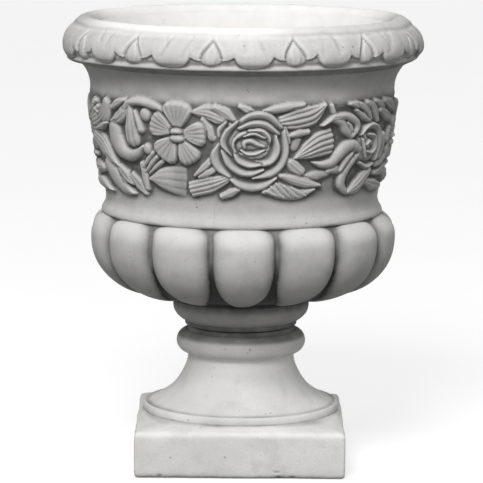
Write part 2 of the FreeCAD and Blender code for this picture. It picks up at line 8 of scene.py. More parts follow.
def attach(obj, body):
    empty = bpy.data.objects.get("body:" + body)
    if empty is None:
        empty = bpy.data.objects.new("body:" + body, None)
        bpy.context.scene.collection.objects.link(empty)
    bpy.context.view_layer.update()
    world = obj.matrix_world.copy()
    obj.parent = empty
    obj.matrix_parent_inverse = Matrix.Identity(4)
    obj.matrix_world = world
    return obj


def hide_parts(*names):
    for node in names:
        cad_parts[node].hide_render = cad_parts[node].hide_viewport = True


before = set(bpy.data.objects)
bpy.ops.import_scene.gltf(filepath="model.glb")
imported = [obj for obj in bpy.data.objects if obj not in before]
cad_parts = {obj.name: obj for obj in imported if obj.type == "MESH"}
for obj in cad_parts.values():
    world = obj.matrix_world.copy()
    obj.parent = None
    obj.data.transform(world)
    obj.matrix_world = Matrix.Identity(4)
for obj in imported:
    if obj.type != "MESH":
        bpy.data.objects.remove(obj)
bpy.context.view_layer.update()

# A weathered cast concrete urn. Lengths are in millimetres until a mesh is made. Angles run from the
# front of the urn (-Y) towards +X, in degrees. A section is a line of (radius, height) points.
MM = 0.001
TINY = 1e-6
SPLINE_STEPS = 24

# Points where the section of one piece ends and that of the next begins.
RING_FOOT = (109.4, 57.4)
BOWL_FOOT = (60.5, 153.5)
BEAD_FOOT = (150, 281.6)
NECK_TOP = (180.6, 448.8)
MOUTH_EDGE = (164, 490)

# Unevenness of a hand-finished casting: height and size of each noise.
CASTING = ((0.35, 34), (0.16, 11), (0.07, 4))

# Odd factors that scatter the bits of a whole number.
MIX_X, MIX_Y, MIX_Z, MIX_SEED, MIX_LAST = 374761393, 668265263, 1274126177, 1442695041, 1103515245
BITS_32, BITS_16 = 0xFFFFFFFF, 0xFFFF


def ease(x, low, high):
    """Smooth step from 0 at low to 1 at high."""
    t = np.clip((x - low) / (high - low), 0, 1)
    return t * t * (3 - 2 * t)


def peak(x, middle, width):
    """Bell curve of height 1."""
    return np.exp(-((x - middle) / width) ** 2)


def signed_turn(angle, middle):
    """Angle from a middle direction, from -180 to 180."""
    return (angle - middle + 180) % 360 - 180


def lattice(cell, seed):
    """Pseudo-random number from 0 to 1 for each whole-number cell."""
    mixed = cell[..., 0] * MIX_X + cell[..., 1] * MIX_Y + cell[..., 2] * MIX_Z
    mixed = (mixed + seed * MIX_SEED) & BITS_32
    mixed = ((mixed ^ (mixed >> 13)) * MIX_LAST) & BITS_32
    return ((mixed ^ (mixed >> 16)) & BITS_16) / BITS_16


def noise(points, size, seed):
    """Smooth noise from -1 to 1 with features about size mm across."""
    spot = points / size
    cell = np.floor(spot).astype(np.int64)
    part = ease(spot - cell, 0, 1)
    total = np.zeros(points.shape[:-1])
    for corner in np.ndindex(2, 2, 2):
        weight = np.prod(np.where(np.array(corner) == 1, part, 1 - part), axis=-1)
        total += weight * lattice(cell + np.array(corner), seed)
    return 2 * total - 1


def layered(points, layers, seed):
    """Sum of noises of given heights and sizes, each with a seed of its own."""
    return sum(height * noise(points, size, seed + k) for k, (height, size) in enumerate(layers))


def patchiness(points, seed):
    """Uneven strength of a darkening along an edge."""
    return 0.75 + 0.5 * noise(points, 26, seed)


def blur(field, reach):
    """Mean over a square of cells; columns go round, rows stop at the ends."""
    window = 2 * reach + 1
    wide = np.concatenate([field[-reach:], field, field[:reach]], axis=0)
    total = np.cumsum(np.concatenate([np.zeros((1, field.shape[1])), wide]), axis=0)
    field = (total[window:] - total[:-window]) / window
    tall = np.pad(field, ((0, 0), (reach, reach)), mode="edge")
    total = np.cumsum(np.concatenate([np.zeros((field.shape[0], 1)), tall], axis=1), axis=1)
    return (total[:, window:] - total[:, :-window]) / window


def lengths(line):
    """Distance along a line to each of its points."""
    return np.concatenate([[0], np.cumsum(np.hypot(*np.diff(line, axis=0).T))])


def spaced(line, count):
    """Evenly spaced points on a line of straight runs."""
    far = lengths(line)
    at = np.linspace(0, far[-1], count)
    return np.stack([np.interp(at, far, line[:, 0]), np.interp(at, far, line[:, 1])], -1)


def straight(start, end, count):
    return spaced(np.array([start, end]), count)


def smooth_line(points, count):
    """Evenly spaced points on a smooth curve through the given ones."""
    p = np.array(points, float)
    p = np.concatenate([[2 * p[0] - p[1]], p, [2 * p[-1] - p[-2]]])
    t = np.linspace(0, 1, SPLINE_STEPS, endpoint=False)[:, None]
    parts = []
    for a, b, c, d in zip(p[:-3], p[1:-2], p[2:-1], p[3:]):
        square = 2 * a - 5 * b + 4 * c - d
        cube = 3 * b - a - 3 * c + d
        parts.append(0.5 * (2 * b + (c - a) * t + square * t ** 2 + cube * t ** 3))
    parts.append(p[-2:-1])
    return spaced(np.concatenate(parts), count)


def bow(start, end, share, count):
    """Points of an arc from start to end that stands to the right of the way by a share of the chord."""
    start, end = np.array(start, float), np.array(end, float)
    run = end - start
    length = np.hypot(*run)
    size = abs(share)
    radius = length * (1 / (8 * size) + size / 2)
    side = np.array([run[1], -run[0]]) / length * np.sign(share)
    centre = (start + end) / 2 + side * (length * size - radius)
    half = 2 * math.atan(2 * size)
    turn = np.linspace(-half, half, count)[:, None] * np.sign(share)
    return centre + radius * (np.cos(turn) * side + np.sin(turn) * np.array([-side[1], side[0]]))


def joined(*parts):
    """One line from several that meet end to start."""
    return np.concatenate([parts[0]] + [part[1:] for part in parts[1:]])


def unit_way(line):
    """Direction of a line at each of its points."""
    way = np.gradient(line, axis=0)
    return way / np.maximum(np.hypot(*way.T), TINY)[:, None]


def outward(line):
    """Normals to the right of a line's way."""
    way = unit_way(line)
    return np.stack([way[:, 1], -way[:, 0]], -1)


def full_turn(count):
    return np.arange(count) * 360.0 / count


def turned(radius, level, angle):
    """Points in space for radii, heights and angles."""
    turn = np.radians(angle)
    return np.stack(np.broadcast_arrays(radius * np.sin(turn), -radius * np.cos(turn), level), -1)


def swept(line, angles):
    """Grid of points[column, row] of a section that is turned to each angle."""
    return turned(line[..., 0], line[..., 1], angles[:, None])


def ring_piece(name, points, angles, back, hollow, worn, body, node, material, closed=True):
    """A solid with a visible grid of points[column, row] and a hidden back of (radius, height) corners.

    The field hollow says where the grid is darkened by dirt and painted shade, and the field worn where it is made
    paler by wear and painted highlights."""
    cols, rows = points.shape[:2]
    hidden = [turned(r, z, angles) for r, z in back]
    chain = np.stack([points[:, -1]] + hidden + [points[:, 0]], axis=1)
    depth = chain.shape[1]
    verts = np.concatenate([points.reshape(-1, 3), chain.reshape(-1, 3)]) * MM
    first = np.arange(cols if closed else cols - 1)
    after = (first + 1) % cols

    def quads(start, count):
        low = np.arange(count - 1)
        a = start + first[:, None] * count + low
        b = start + after[:, None] * count + low
        return np.stack([a, b, b + 1, a + 1], -1).reshape(-1, 4)

    faces = np.concatenate([quads(0, rows), quads(cols * rows, depth)])
    seen = len(first) * (rows - 1)
    loops = faces.ravel()
    starts = np.arange(len(faces)) * 4
    if not closed:
        for col, order in ((0, -1), (cols - 1, 1)):
            edge = np.concatenate([np.arange(rows) + col * rows,
                                   np.arange(1, depth - 1) + cols * rows + col * depth])
            starts = np.append(starts, len(loops))
            loops = np.concatenate([loops, edge[::order]])
    mesh = bpy.data.meshes.new(name)
    mesh.vertices.add(len(verts))
    mesh.vertices.foreach_set("co", verts.ravel())
    mesh.loops.add(len(loops))
    mesh.loops.foreach_set("vertex_index", loops.astype(np.int32))
    mesh.polygons.add(len(starts))
    mesh.polygons.foreach_set("loop_start", starts.astype(np.int32))
    mesh.polygons.foreach_set("use_smooth", np.arange(len(starts)) < seen)
    mesh.update(calc_edges=True)
    for label, field in (("hollow", hollow), ("worn", worn)):
        mark = mesh.attributes.new(label, "FLOAT", "POINT")
        values = np.concatenate([np.broadcast_to(field, (cols, rows)).ravel(), np.zeros(cols * depth)])
        mark.data.foreach_set("value", values.astype(np.float32))
    mesh.materials.append(material)
    piece = bpy.data.objects.new(name, mesh)
    bpy.context.scene.collection.objects.link(piece)
    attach(piece, body)
    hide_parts(node)


class Tree:
    """Short way to build a node material."""

    def __init__(self, name):
        self.material = bpy.data.materials.new(name)
        self.material.use_nodes = True
        self.nodes = self.material.node_tree.nodes
        self.links = self.material.node_tree.links
        self.shader = self.nodes["Principled BSDF"]

    def add(self, kind, **values):
        node = self.nodes.new(kind)
        for key, value in values.items():
            setattr(node, key, value)
        return node

    def feed(self, socket, value):
        if isinstance(value, bpy.types.NodeSocket):
            self.links.new(value, socket)
        else:
            socket.default_value = value

    def coords(self):
        return self.add("ShaderNodeTexCoord").outputs["Object"]

    def mark(self, label):
        return self.add("ShaderNodeAttribute", attribute_name=label).outputs["Fac"]

    def math(self, operation, a, b):
        node = self.add("ShaderNodeMath", operation=operation)
        self.feed(node.inputs[0], a)
        self.feed(node.inputs[1], b)
        return node.outputs[0]

    def noise(self, coords, scale, detail, roughness=0.55):
        node = self.add("ShaderNodeTexNoise")
        self.feed(node.inputs["Vector"], coords)
        node.inputs["Scale"].default_value = scale
        node.inputs["Detail"].default_value = detail
        node.inputs["Roughness"].default_value = roughness
        return node.outputs["Fac"]

    def ramp(self, value, low, high, start=0.0, end=1.0):
        """Smooth change from start to end while a value goes from low to high."""
        node = self.add("ShaderNodeMapRange", interpolation_type="SMOOTHSTEP")
        for socket, number in zip(node.inputs[:5], (value, low, high, start, end)):
            self.feed(socket, number)
        return node.outputs[0]

    def mix(self, share, a, b):
        node = self.add("ShaderNodeMix", data_type="RGBA")
        self.feed(node.inputs["Factor"], share)
        self.feed(node.inputs["A"], a)
        self.feed(node.inputs["B"], b)
        return node.outputs["Result"]

    def bump(self, height, strength, distance):
        """Fine surface grain, with its depth in metres."""
        node = self.add("ShaderNodeBump")
        node.inputs["Strength"].default_value = strength
        node.inputs["Distance"].default_value = distance
        self.feed(node.inputs["Height"], height)
        self.feed(self.shader.inputs["Normal"], node.outputs[0])


def grey(level):
    """A grey that is very slightly warm."""
    return (level, level * 0.992, level * 0.975, 1)


# Colours for air holes, for dirt with painted shade, for painted near-black shadow, and for wear with painted
# highlights.
PIT_GREY, DIRT_AND_SHADE_GREY, PAINTED_SHADOW_BLACK, WEAR_AND_HIGHLIGHT_GREY = grey(0.18), grey(0.085), grey(0.028), grey(0.92)


def concrete(name, shade):
    """Cast concrete of a lighter or darker shade, with dirt and painted shade in its hollows, worn, pale edges and
    painted highlights.
    """
    tree = Tree(name)
    coords = tree.coords()
    cloud = tree.noise(coords, 9, 4)
    blotch = tree.noise(coords, 48, 5, 0.62)
    grain = tree.noise(coords, 520, 3, 0.7)
    colour = tree.mix(tree.ramp(cloud, 0.3, 0.7), grey(0.60 * shade), grey(0.70 * shade))
    colour = tree.mix(tree.ramp(blotch, 0.46, 0.74, 0, 0.35), colour, grey(0.44 * shade))
    colour = tree.mix(tree.ramp(grain, 0.35, 0.75, 0, 0.3), colour, grey(0.46 * shade))
    # Air holes, in a few places only.
    cells = tree.add("ShaderNodeTexVoronoi", feature="F1")
    tree.feed(cells.inputs["Vector"], coords)
    cells.inputs["Scale"].default_value = 150
    rare = tree.ramp(tree.noise(coords, 70, 2), 0.56, 0.7)
    pit = tree.math("MULTIPLY", tree.ramp(cells.outputs["Distance"], 0.24, 0.1), rare)
    colour = tree.mix(tree.math("MULTIPLY", pit, 0.6), colour, PIT_GREY)
    # Dirt and painted shade in the hollows, painted near-black shadow in the deepest, and rubbed edges with painted
    # highlights.
    hollow = tree.mark("hollow")
    patch = tree.math("MULTIPLY", hollow, tree.ramp(blotch, 0.25, 0.65, 0.75, 1.0))
    colour = tree.mix(patch, colour, DIRT_AND_SHADE_GREY)
    colour = tree.mix(tree.ramp(hollow, 0.86, 1.0), colour, PAINTED_SHADOW_BLACK)
    wear_and_highlight = tree.math("MULTIPLY", tree.mark("worn"), tree.ramp(blotch, 0.35, 0.7, 0.96, 0.84))
    colour = tree.mix(wear_and_highlight, colour, WEAR_AND_HIGHLIGHT_GREY)
    tree.feed(tree.shader.inputs["Base Color"], colour)
    tree.feed(tree.shader.inputs["Roughness"], tree.ramp(blotch, 0.3, 0.7, 0.82, 0.96))
    tree.shader.inputs["Specular IOR Level"].default_value = 0.25
    tree.bump(tree.math("SUBTRACT", tree.math("MULTIPLY", grain, 0.35), pit), 0.55, 0.0009)
    return tree.material


def dull(name, low, high, scale, roughness, metal=0.0, rust=None):
    """Moulded plastic, rubber or steel with blotches and a fine uneven surface."""
    tree = Tree(name)
    coords = tree.coords()
    blotch = tree.noise(coords, scale, 5, 0.6)
    colour = tree.mix(tree.ramp(blotch, 0.3, 0.7), low, high)
    if rust:
        colour = tree.mix(tree.ramp(tree.noise(coords, scale * 0.6, 6, 0.7), 0.48, 0.66), colour, rust)
    tree.feed(tree.shader.inputs["Base Color"], colour)
    tree.feed(tree.shader.inputs["Roughness"], tree.ramp(blotch, 0.3, 0.7, roughness - 0.1, roughness + 0.1))
    tree.shader.inputs["Metallic"].default_value = metal
    tree.bump(tree.noise(coords, scale * 14, 2), 0.3, 0.0004)
    return tree.material


stone = concrete("concrete", 0.9)
stem_stone = concrete("stem_concrete", 1.15)
pale_stone = concrete("pale_concrete", 1.24)

# Frieze: the ground of the relief and every carved form on it. The relief comes twice round the bowl, and
# its forms are laid out in degrees from the front and mm of height.
DEGREE = 2.9  # mm along the frieze in one degree
PERIOD = 180.0
COLUMNS = 1296
CUT_ANGLE = -11.0  # where the first of the four sectors begins
FOOT, HEAD = 309.0, 416.0
FOOT_RADIUS, HEAD_RADIUS = 153.0, 169.5
GROUND_ROWS = 127
SPINE_STEPS = 72
GROOVE = 2.4  # depth of the groove that is cut round a form
LOWEST, HIGHEST = -1.5, 10.5
half_angles = CUT_ANGLE + np.arange(COLUMNS // 2) * 360.0 / COLUMNS
bead = smooth_line([BEAD_FOOT, (153.8, 281.4), (156.2, 283.2), (156.4, 285.6), (155.2, 288.6), (153.0, 292.5),
                    (151.7, 297.5), (151.9, 303), (FOOT_RADIUS, FOOT)], 34)
ground = np.stack([np.linspace(FOOT_RADIUS, HEAD_RADIUS, GROUND_ROWS), np.linspace(FOOT, HEAD, GROUND_ROWS)], -1)
neck = bow((HEAD_RADIUS, HEAD), NECK_TOP, -0.12, 26)
frieze_line = joined(bead, ground, neck)
frieze_z = frieze_line[:, 1]
half_relief = np.zeros((COLUMNS // 2, len(frieze_line)))


def near_block(low_x, high_x, low_z, high_z):
    """Columns, rows, places along and heights of the part of the frieze inside a box."""
    middle = (low_x + high_x) / 2 / DEGREE
    across = ((half_angles - middle + PERIOD / 2) % PERIOD - PERIOD / 2 + middle) * DEGREE
    cols = np.where((across > low_x) & (across < high_x))[0]
    rows = np.where((frieze_z > max(low_z, FOOT - 1)) & (frieze_z < high_z))[0]
    return cols, rows, across[cols][:, None], frieze_z[rows][None, :]


def lay(cols, rows, inside, lift, outside, cut, over):
    """Puts a form on the relief and cuts a narrow groove round its outline."""
    block = half_relief[np.ix_(cols, rows)]
    beside = np.clip(1 - outside / cut, 0, 1) if cut else np.zeros_like(outside)
    sunk = block - GROOVE * beside * beside * np.clip(block / 4, 0, 1)
    raised = lift if over else np.maximum(lift, block)
    half_relief[np.ix_(cols, rows)] = np.where(inside, raised, sunk)


def carve(points, widths, top, ribs=0, rib=1.2, edge=2.3, lean=0.0, inner=1.0, cut=1.6, over=False,
          caps=(None, None)):
    """Raises one form along a curved spine of (angle, height) points, with half widths and tops along it.

    A lean moves the crest to the left of the way, inner widens the right of the way, and caps are the
    lengths of the rounded ends, which are half circles where none is given."""
    spine = smooth_line([(x * DEGREE, z) for x, z in points], SPINE_STEPS)
    reach = max(widths) * max(inner, 1) + 3
    cols, rows, x, z = near_block(spine[:, 0].min() - reach, spine[:, 0].max() + reach,
                                  spine[:, 1].min() - reach, spine[:, 1].max() + reach)
    gap = (x[..., None] - spine[:, 0]) ** 2 + (z[..., None] - spine[:, 1]) ** 2
    near = gap.argmin(-1)
    way = unit_way(spine)
    off_x, off_z = x - spine[near, 0], z - spine[near, 1]
    side = way[near, 0] * off_z - way[near, 1] * off_x
    share = near / (len(spine) - 1)
    width = np.maximum(np.interp(share, np.linspace(0, 1, len(widths)), widths), 0.05)
    width = np.where(side < 0, width * inner, width)
    past = np.zeros_like(side)
    for at_end, sign, cap in ((near == 0, -1, caps[0]), (near == len(spine) - 1, 1, caps[1])):
        beyond = np.maximum(sign * (way[near, 0] * off_x + way[near, 1] * off_z), 0) * at_end
        past = past + beyond / (cap or width)
    spread = np.hypot(side / width, past)
    q = spread * np.where(side < 0, -1, 1)
    bent = np.where(q > lean, (q - lean) / (1 - lean), (lean - q) / (1 + lean))
    crest = np.sqrt(np.clip(1 - np.clip(bent, 0, 1) ** edge, 0, 1))
    if lean:
        crest = np.where(q < lean, 0.6 + 0.4 * np.cos(np.pi * np.clip(bent, 0, 1)), crest)
    lift = np.interp(share, np.linspace(0, 1, np.size(top)), np.atleast_1d(top)) * crest
    if ribs:
        wave = np.abs(np.sin(np.pi * ribs * (np.clip(side / width, -1, 1) + 1) / 2))
        lift = lift - rib * (1 - wave) ** 1.5 * np.clip(width / 4, 0, 1)
    lay(cols, rows, spread < 1, lift, (spread - 1) * width, cut, over)


def boss(x, z, wide, high, top, cut=1.8):
    """A small round lump."""
    carve([(x - 0.1, z), (x + 0.1, z)], [high, high], top, cut=cut, caps=(wide, wide), over=True)


PETAL_INNER = 4.0
PETAL_VEINS = 6
PETAL_POWER = 4.4  # the higher, the squarer a petal's end
PETAL_EDGE = 3.0  # width of a petal's rounded edge


def petal(x, z, turn, spread, outer, top):
    """Fan-shaped petal of an open flower, with veins that run out from its heart."""
    reach = outer + 4
    cols, rows, px, pz = near_block(x * DEGREE - reach, x * DEGREE + reach, z - reach, z + reach)
    off_x, off_z = px - x * DEGREE, pz - z
    far = np.hypot(off_x, off_z)
    q = signed_turn(np.degrees(np.arctan2(off_z, off_x)), turn) / spread
    t = np.clip((far - PETAL_INNER) / (outer - PETAL_INNER), 0, None)
    size = (np.abs(q) ** PETAL_POWER + t ** PETAL_POWER) ** (1 / PETAL_POWER)
    depth = (1 - size) * np.minimum(np.radians(spread) * np.maximum(far, 2), outer - PETAL_INNER)
    round_edge = np.sqrt(np.clip(1 - (1 - np.clip(depth / PETAL_EDGE, 0, 1)) ** 2, 0, 1))
    wave = np.abs(np.sin(np.pi * PETAL_VEINS * (q + 1) / 2))
    body = top * (0.66 + 0.34 * ease(t, 0.0, 0.75)) + 0.6 * np.abs(q) ** 2
    lift = round_edge * body - 1.15 * (1 - wave) ** 1.6 * ease(t, 0.12, 0.45) * (depth > 0)
    lay(cols, rows, (depth > 0) & (far > PETAL_INNER * 0.6), lift, np.maximum(-depth, 0), 1.8, False)


def flower(x, z, petals, top):
    """Open flower: petals of (direction, half spread, reach), and a heart of two lumps."""
    for turn, spread, outer in petals:
        petal(x, z, turn, spread, outer, top)
    boss(x - 0.1, z + 2.4, 7.2, 5.0, top + 2.4, 2.4)
    boss(x + 0.1, z - 5.0, 9.4, 5.3, top + 2.2, 0.9)


# Leaves behind the flowers, left to right.
carve([(-90, 384), (-82, 389), (-75, 396), (-69.5, 411)], [3, 10, 12, 5], 6, 4)
carve([(-88, 354), (-80, 362), (-72, 372)], [3, 11, 6], 6, 4)
carve([(-96, 349), (-87, 347), (-79, 349)], [3, 7.6, 3], 6.6, 3)
carve([(-90, 338), (-81, 334), (-71, 336)], [3, 10, 5], 6, 4)
carve([(-84, 318), (-73, 318), (-63.6, 313)], [7, 8, 1.5], 6)
carve([(-75, 384), (-67, 390), (-62, 399), (-59.4, 410)], [12, 15, 13, 8], 6.5, 6, 1.5)
carve([(-70, 380), (-65, 383.5), (-60.5, 388.5)], [2, 4.5, 1.5], 7)
carve([(-74, 369), (-66.5, 361.5), (-60, 349), (-54.6, 342.5)], [12, 15, 9, 1], 6.8, 6, 1.3)
carve([(-64, 341), (-58, 328.5), (-52.5, 319), (-47, 314.3)], [11, 13, 9.5, 1.5], 6.8)
carve([(-54.6, 340), (-51.5, 333), (-47.5, 324.5)], [6, 9.5, 2], 6.2, 2)
carve([(-47.4, 334), (-44.2, 325), (-41, 316)], [5, 8.5, 3], 5.2, 2)
carve([(-41.4, 348), (-40.6, 337), (-40, 322)], [4, 6, 3.5], 5.6, 2, 0.9)
carve([(-35.8, 361.5), (-38, 354), (-40.4, 346)], [3, 3.4, 2], 5.8)
carve([(-33.6, 358), (-36.5, 350), (-39.3, 341)], [3, 3.4, 2], 5.8)
carve([(-31.2, 354), (-34.5, 346.5), (-37.8, 339)], [3, 3.2, 1.5], 5.8)
boss(-38.2, 365.5, 5.8, 7, 6)
carve([(-55.4, 407), (-52, 412.5), (-47.6, 417)], [3, 5.2, 3.5], 6, 2)
carve([(-57.4, 392), (-52, 396.5), (-48, 404.5), (-45.4, 415)], [1.5, 7.5, 8, 4], [5.5, 7, 7, 6], 3, 1.5)
carve([(-47.8, 409.5), (-44, 415.5), (-39.5, 417), (-34, 414), (-29.2, 408.5)], [3, 5, 5.6, 5.4, 4], 6.4)
boss(-37.7, 403, 7, 8, 6.6)
# Cluster of five berries at the far left.
for k in range(5):
    berry_turn = math.radians(72 * k)
    boss(-68 + 5.5 * math.cos(berry_turn) / DEGREE, 405 + 6.5 * math.sin(berry_turn), 3.6, 3.6, 6.8, 0.8)
carve([(-42.7, 406), (-41.2, 396), (-40.5, 386.5)], [1.8, 4.4, 5.2], [5, 6.4, 6.6])
carve([(-55.8, 382), (-55.2, 372), (-52, 361.5), (-47.5, 356.8), (-43, 360), (-39.8, 368)],
      [11.5, 13.5, 12, 8.6, 7, 5, 2], [7, 8, 8.2, 8, 6.5], edge=2.1)
carve([(-45, 411), (-45, 396), (-45, 384), (-44.9, 376)], [1.5, 5.5, 8.5, 10.8, 11.2], [5, 6.5, 8, 8], 3, 1.5)
carve([(-22.6, 332.6), (-27, 333.6), (-32, 334), (-37.8, 333)], [18, 16.6, 12, 2], [2.4, 3.8, 5.8, 6.8, 6], 4, 0.6,
      edge=3, caps=(2.5, None))
carve([(-11, 360), (-14, 350), (-18.2, 340)], [3.6, 5.2, 1.8], 6, 2)
carve([(-9, 350.5), (-12.5, 343.5), (-16.6, 338)], [3.4, 4.6, 1.8], 6, 2)
carve([(-5, 338.5), (-11, 331.5), (-19.8, 324.6)], [5, 10, 9.4], 6.6, 4, 2.3, caps=(None, 3.5))
carve([(-0.4, 327.5), (-4, 322.6), (-8, 317.8)], [2.5, 5.4, 3.8], 6.6, 3, 1.2, caps=(None, 2))
carve([(-17.6, 410.5), (-12.5, 414.4), (-7.6, 414)], [2, 4.8, 3], 6)
carve([(-18.4, 409.5), (-12.5, 408), (-8, 403), (-4.4, 397)], [2, 7.6, 8.4, 2.5], 6.4, 4, 1.6)
carve([(-9.6, 415), (-6, 409.5), (-2.4, 400)], [4.4, 6.8, 2.5], 6.8, 3, 1.5)
carve([(-14.2, 401), (-12.8, 392), (-10.9, 382)], [3.5, 7.4, 5], 6.2, 3, 1.0)
carve([(-0.6, 416.5), (1.6, 413), (5, 408.5)], [3.4, 5, 2.5], 5.4, 2)
carve([(6, 409), (11, 412.5), (17, 415.4), (22.4, 417.5)], [2, 5.2, 5.6, 3], 6.2)
carve([(19.6, 373), (20.6, 379)], [7, 6], 3.4)
carve([(14.2, 398.5), (20, 401.5), (26, 406), (30.8, 416.5)], [8, 12.6, 12.4, 3], 6.8, 4, 2.6, caps=(4, None))
carve([(17.8, 384), (21, 386.4), (24.6, 387.6)], [3.2, 5.2, 3.6], 6.2)
carve([(19.8, 358.6), (25, 366.5), (30, 373), (34.6, 375.6)], [0.8, 10, 15, 16], [5.5, 6.8, 7.4, 6], 5, 2.6,
      caps=(None, 6))
carve([(17, 357.5), (20, 350.5), (23, 344)], [3.5, 7.6, 6.4], 6.4, 3, 1.6)
carve([(25, 337.5), (30, 339), (35, 341)], [5, 6.5, 4], 4.2)
carve([(14.5, 341), (19.5, 336), (25.5, 331), (31.8, 328)], [3, 6.2, 6.4, 1.5], 6.4, 4, 1.2)
carve([(8.4, 322.8), (13, 325), (18, 321.8), (23.4, 319.6), (29.5, 324)], [2, 9.6, 8.4, 5.6, 1.5], 5.4)
# Fringe of five blades under the rose: place and height of each root, and height of its tip.
fringe = ((8.6, 325, 317.4), (10.4, 331, 315.6), (13.2, 332, 315.2), (16.2, 329.6, 315.4), (19.4, 327, 317.2))
for root, root_z, tip_z in fringe:
    carve([(root, root_z), (root + 2.6, (root_z + tip_z) / 2 + 0.6), (root + 6.2, tip_z)], [1.4, 3, 1.2], 6.1, cut=0.8)
carve([(33.8, 415.5), (35, 407.5), (37.4, 401)], [2.4, 3, 2.8], 5.4)
carve([(42.4, 415.4), (45.4, 414.4), (48.8, 411)], [2.5, 5.2, 4], 5.6, 2)
carve([(47.6, 414.5), (51.8, 406.5), (55, 396)], [3, 6, 2], 5.8, 2)
carve([(51.6, 415.5), (56, 408.5), (60.2, 393)], [3.4, 6.4, 2.5], 5.8, 2)
carve([(45.8, 407.8), (49.6, 400.6), (54.4, 393.4)], [1.6, 4.4, 1.6], 6.4)
carve([(57, 416), (62, 409), (66, 398)], [3, 6, 3], 5.6, 2)
carve([(61, 404), (67, 398), (74, 391)], [3, 6.5, 4], 5.8, 2)
carve([(64, 414.5), (71, 409), (77, 402)], [4, 7, 4], 5.8, 3)
carve([(30.4, 394), (35.2, 401.2), (41, 401.8), (46, 395), (46.9, 387), (44.6, 379.6)],
      [2, 4.2, 5, 5.4, 5, 4], 7.2)
carve([(35.4, 398.4), (39, 395.2), (41.4, 387.5), (44.2, 380.8)], [3, 5, 5.6, 4.6], 6.4)
carve([(41.6, 395), (43.4, 390.5), (44.4, 385.5)], [1.5, 3, 2], 6.6)
carve([(34.8, 343.4), (38, 345.2), (40.6, 341.6)], [3.5, 6.6, 4], 5.2)
carve([(51, 361), (46.6, 351), (43.4, 340), (42.2, 328), (45, 318)], [3, 5.6, 6.4, 6.8, 3], 6)
carve([(46.6, 362), (43.4, 354), (40.6, 343)], [3, 5.2, 3.4], 6.6)
carve([(46, 317), (51.6, 323), (55.6, 331), (58.8, 338)], [2.6, 9, 9.6, 6], 6.2, 4, 1.3)
carve([(58, 326), (65, 320.5), (73, 317)], [4, 8, 4], 5.8, 2)
carve([(66, 352), (68, 362), (67, 376)], [5, 6.5, 4], 6)
carve([(65, 343), (70, 346), (74, 352)], [4, 6, 4], 6)
carve([(64, 334), (70, 334), (77, 338)], [3, 6, 4], 5.6, 2)
carve([(27.4, 354), (31.8, 350.6), (36, 352.4), (39.2, 360.6), (42.6, 367.6), (46, 369.4), (49.6, 364)],
      [0.8, 4.4, 6.4, 8.4, 8.6, 7.4, 5], [5.5, 7.2, 8.2, 8.2, 7.4], edge=2.1)
carve([(76, 331), (82, 327), (90, 321)], [5, 9, 4], 6, 3)
carve([(82, 408), (87, 400), (90, 386)], [4, 8, 4], 6, 3)
# A small flower at the far right, where the photo shows hardly anything.
flower(80, 368, [(90, 33, 26), (162, 33, 26), (234, 33, 26), (306, 33, 26), (18, 33, 26)], 6.4)

# Rose at the front: cupped petals from the outside in, each highest near its outer edge.
carve([(0.5, 366), (3.2, 367), (5.9, 366)], [35, 36, 35], 4.4, edge=3.5, cut=2)
carve([(15.4, 393), (16.6, 385), (17.6, 376)], [2.4, 3, 2], 5.6)
rose_lips = [
    ([(13, 338.4), (8.3, 330.6), (3.4, 328.6), (-1.5, 332.2), (-5, 340)], [2, 5, 5.6, 5, 2], 6.2),
    ([(-4.6, 340), (-8.6, 350.5), (-10, 362.5), (-8.6, 374.5)], [2.4, 6, 6.4, 2], 6.6),
    ([(15, 390), (16, 368), (14.6, 353.5), (11, 344.2), (4.2, 338.8)], [2, 5, 5.6, 5.4, 2], 6.8),
    ([(-8.3, 383), (-8.2, 390), (-5.8, 398.6)], [1.6, 3.6, 2], 6.4),
    ([(-1.6, 398), (3.4, 405.6), (9, 404.6), (14.2, 393)], [2.4, 5.2, 5.6, 2.4], 7),
    ([(-3.8, 361), (-6.8, 375), (-5.6, 387.5), (-1.8, 399.4)], [1.5, 3.8, 3.8, 2], 7.4),
    ([(-1, 392.5), (3.4, 396.8), (8.2, 395.6), (13.2, 386.2)], [2, 4.4, 4.8, 2], 7.8),
    ([(8, 347.5), (3.4, 344), (-0.3, 345.4), (-4.5, 353.6), (-7.4, 368)], [1.5, 4.4, 5.2, 5, 1.6], 7.8),
    ([(12.2, 384), (12.7, 368.5), (10.9, 358.2), (7.7, 354.6), (4.6, 356.6)], [1.6, 4.6, 5, 4.4, 1.6], 8.4),
    ([(6.8, 353), (2.6, 353), (-1.2, 358), (-2.8, 367)], [1.6, 4, 4.2, 1.6], 8),
    ([(-2.4, 367), (-2.9, 374.5), (-1.2, 383), (3.2, 390)], [1.5, 3.6, 3.8, 1.8], 8.6),
    ([(2.4, 389.8), (7, 389), (9.5, 381), (8.9, 369)], [1.8, 3.4, 3.6, 1.6], 8.4),
]
for lip, widths, top in rose_lips:
    carve(lip, widths, top, lean=0.3, inner=1.5, over=True, cut=2.0)
carve([(0, 374), (3.2, 376), (7, 375)], [8.5, 10.5, 8.5], 4.4, over=True, cut=0)
carve([(0.6, 383.4), (4.2, 386), (8, 381.6)], [1.6, 3, 1.6], 8, lean=0.3, over=True)
carve([(0.9, 372.4), (0.8, 377), (2.9, 379), (5.4, 375.6), (8, 373)], [2.2, 3.4, 3.4, 3, 1.6], 8.2, over=True)
carve([(8.2, 369.4), (4.4, 365.6), (1.5, 366), (-0.3, 369.4)], [1.4, 3, 3, 1.4], 8.2, lean=0.3, over=True)

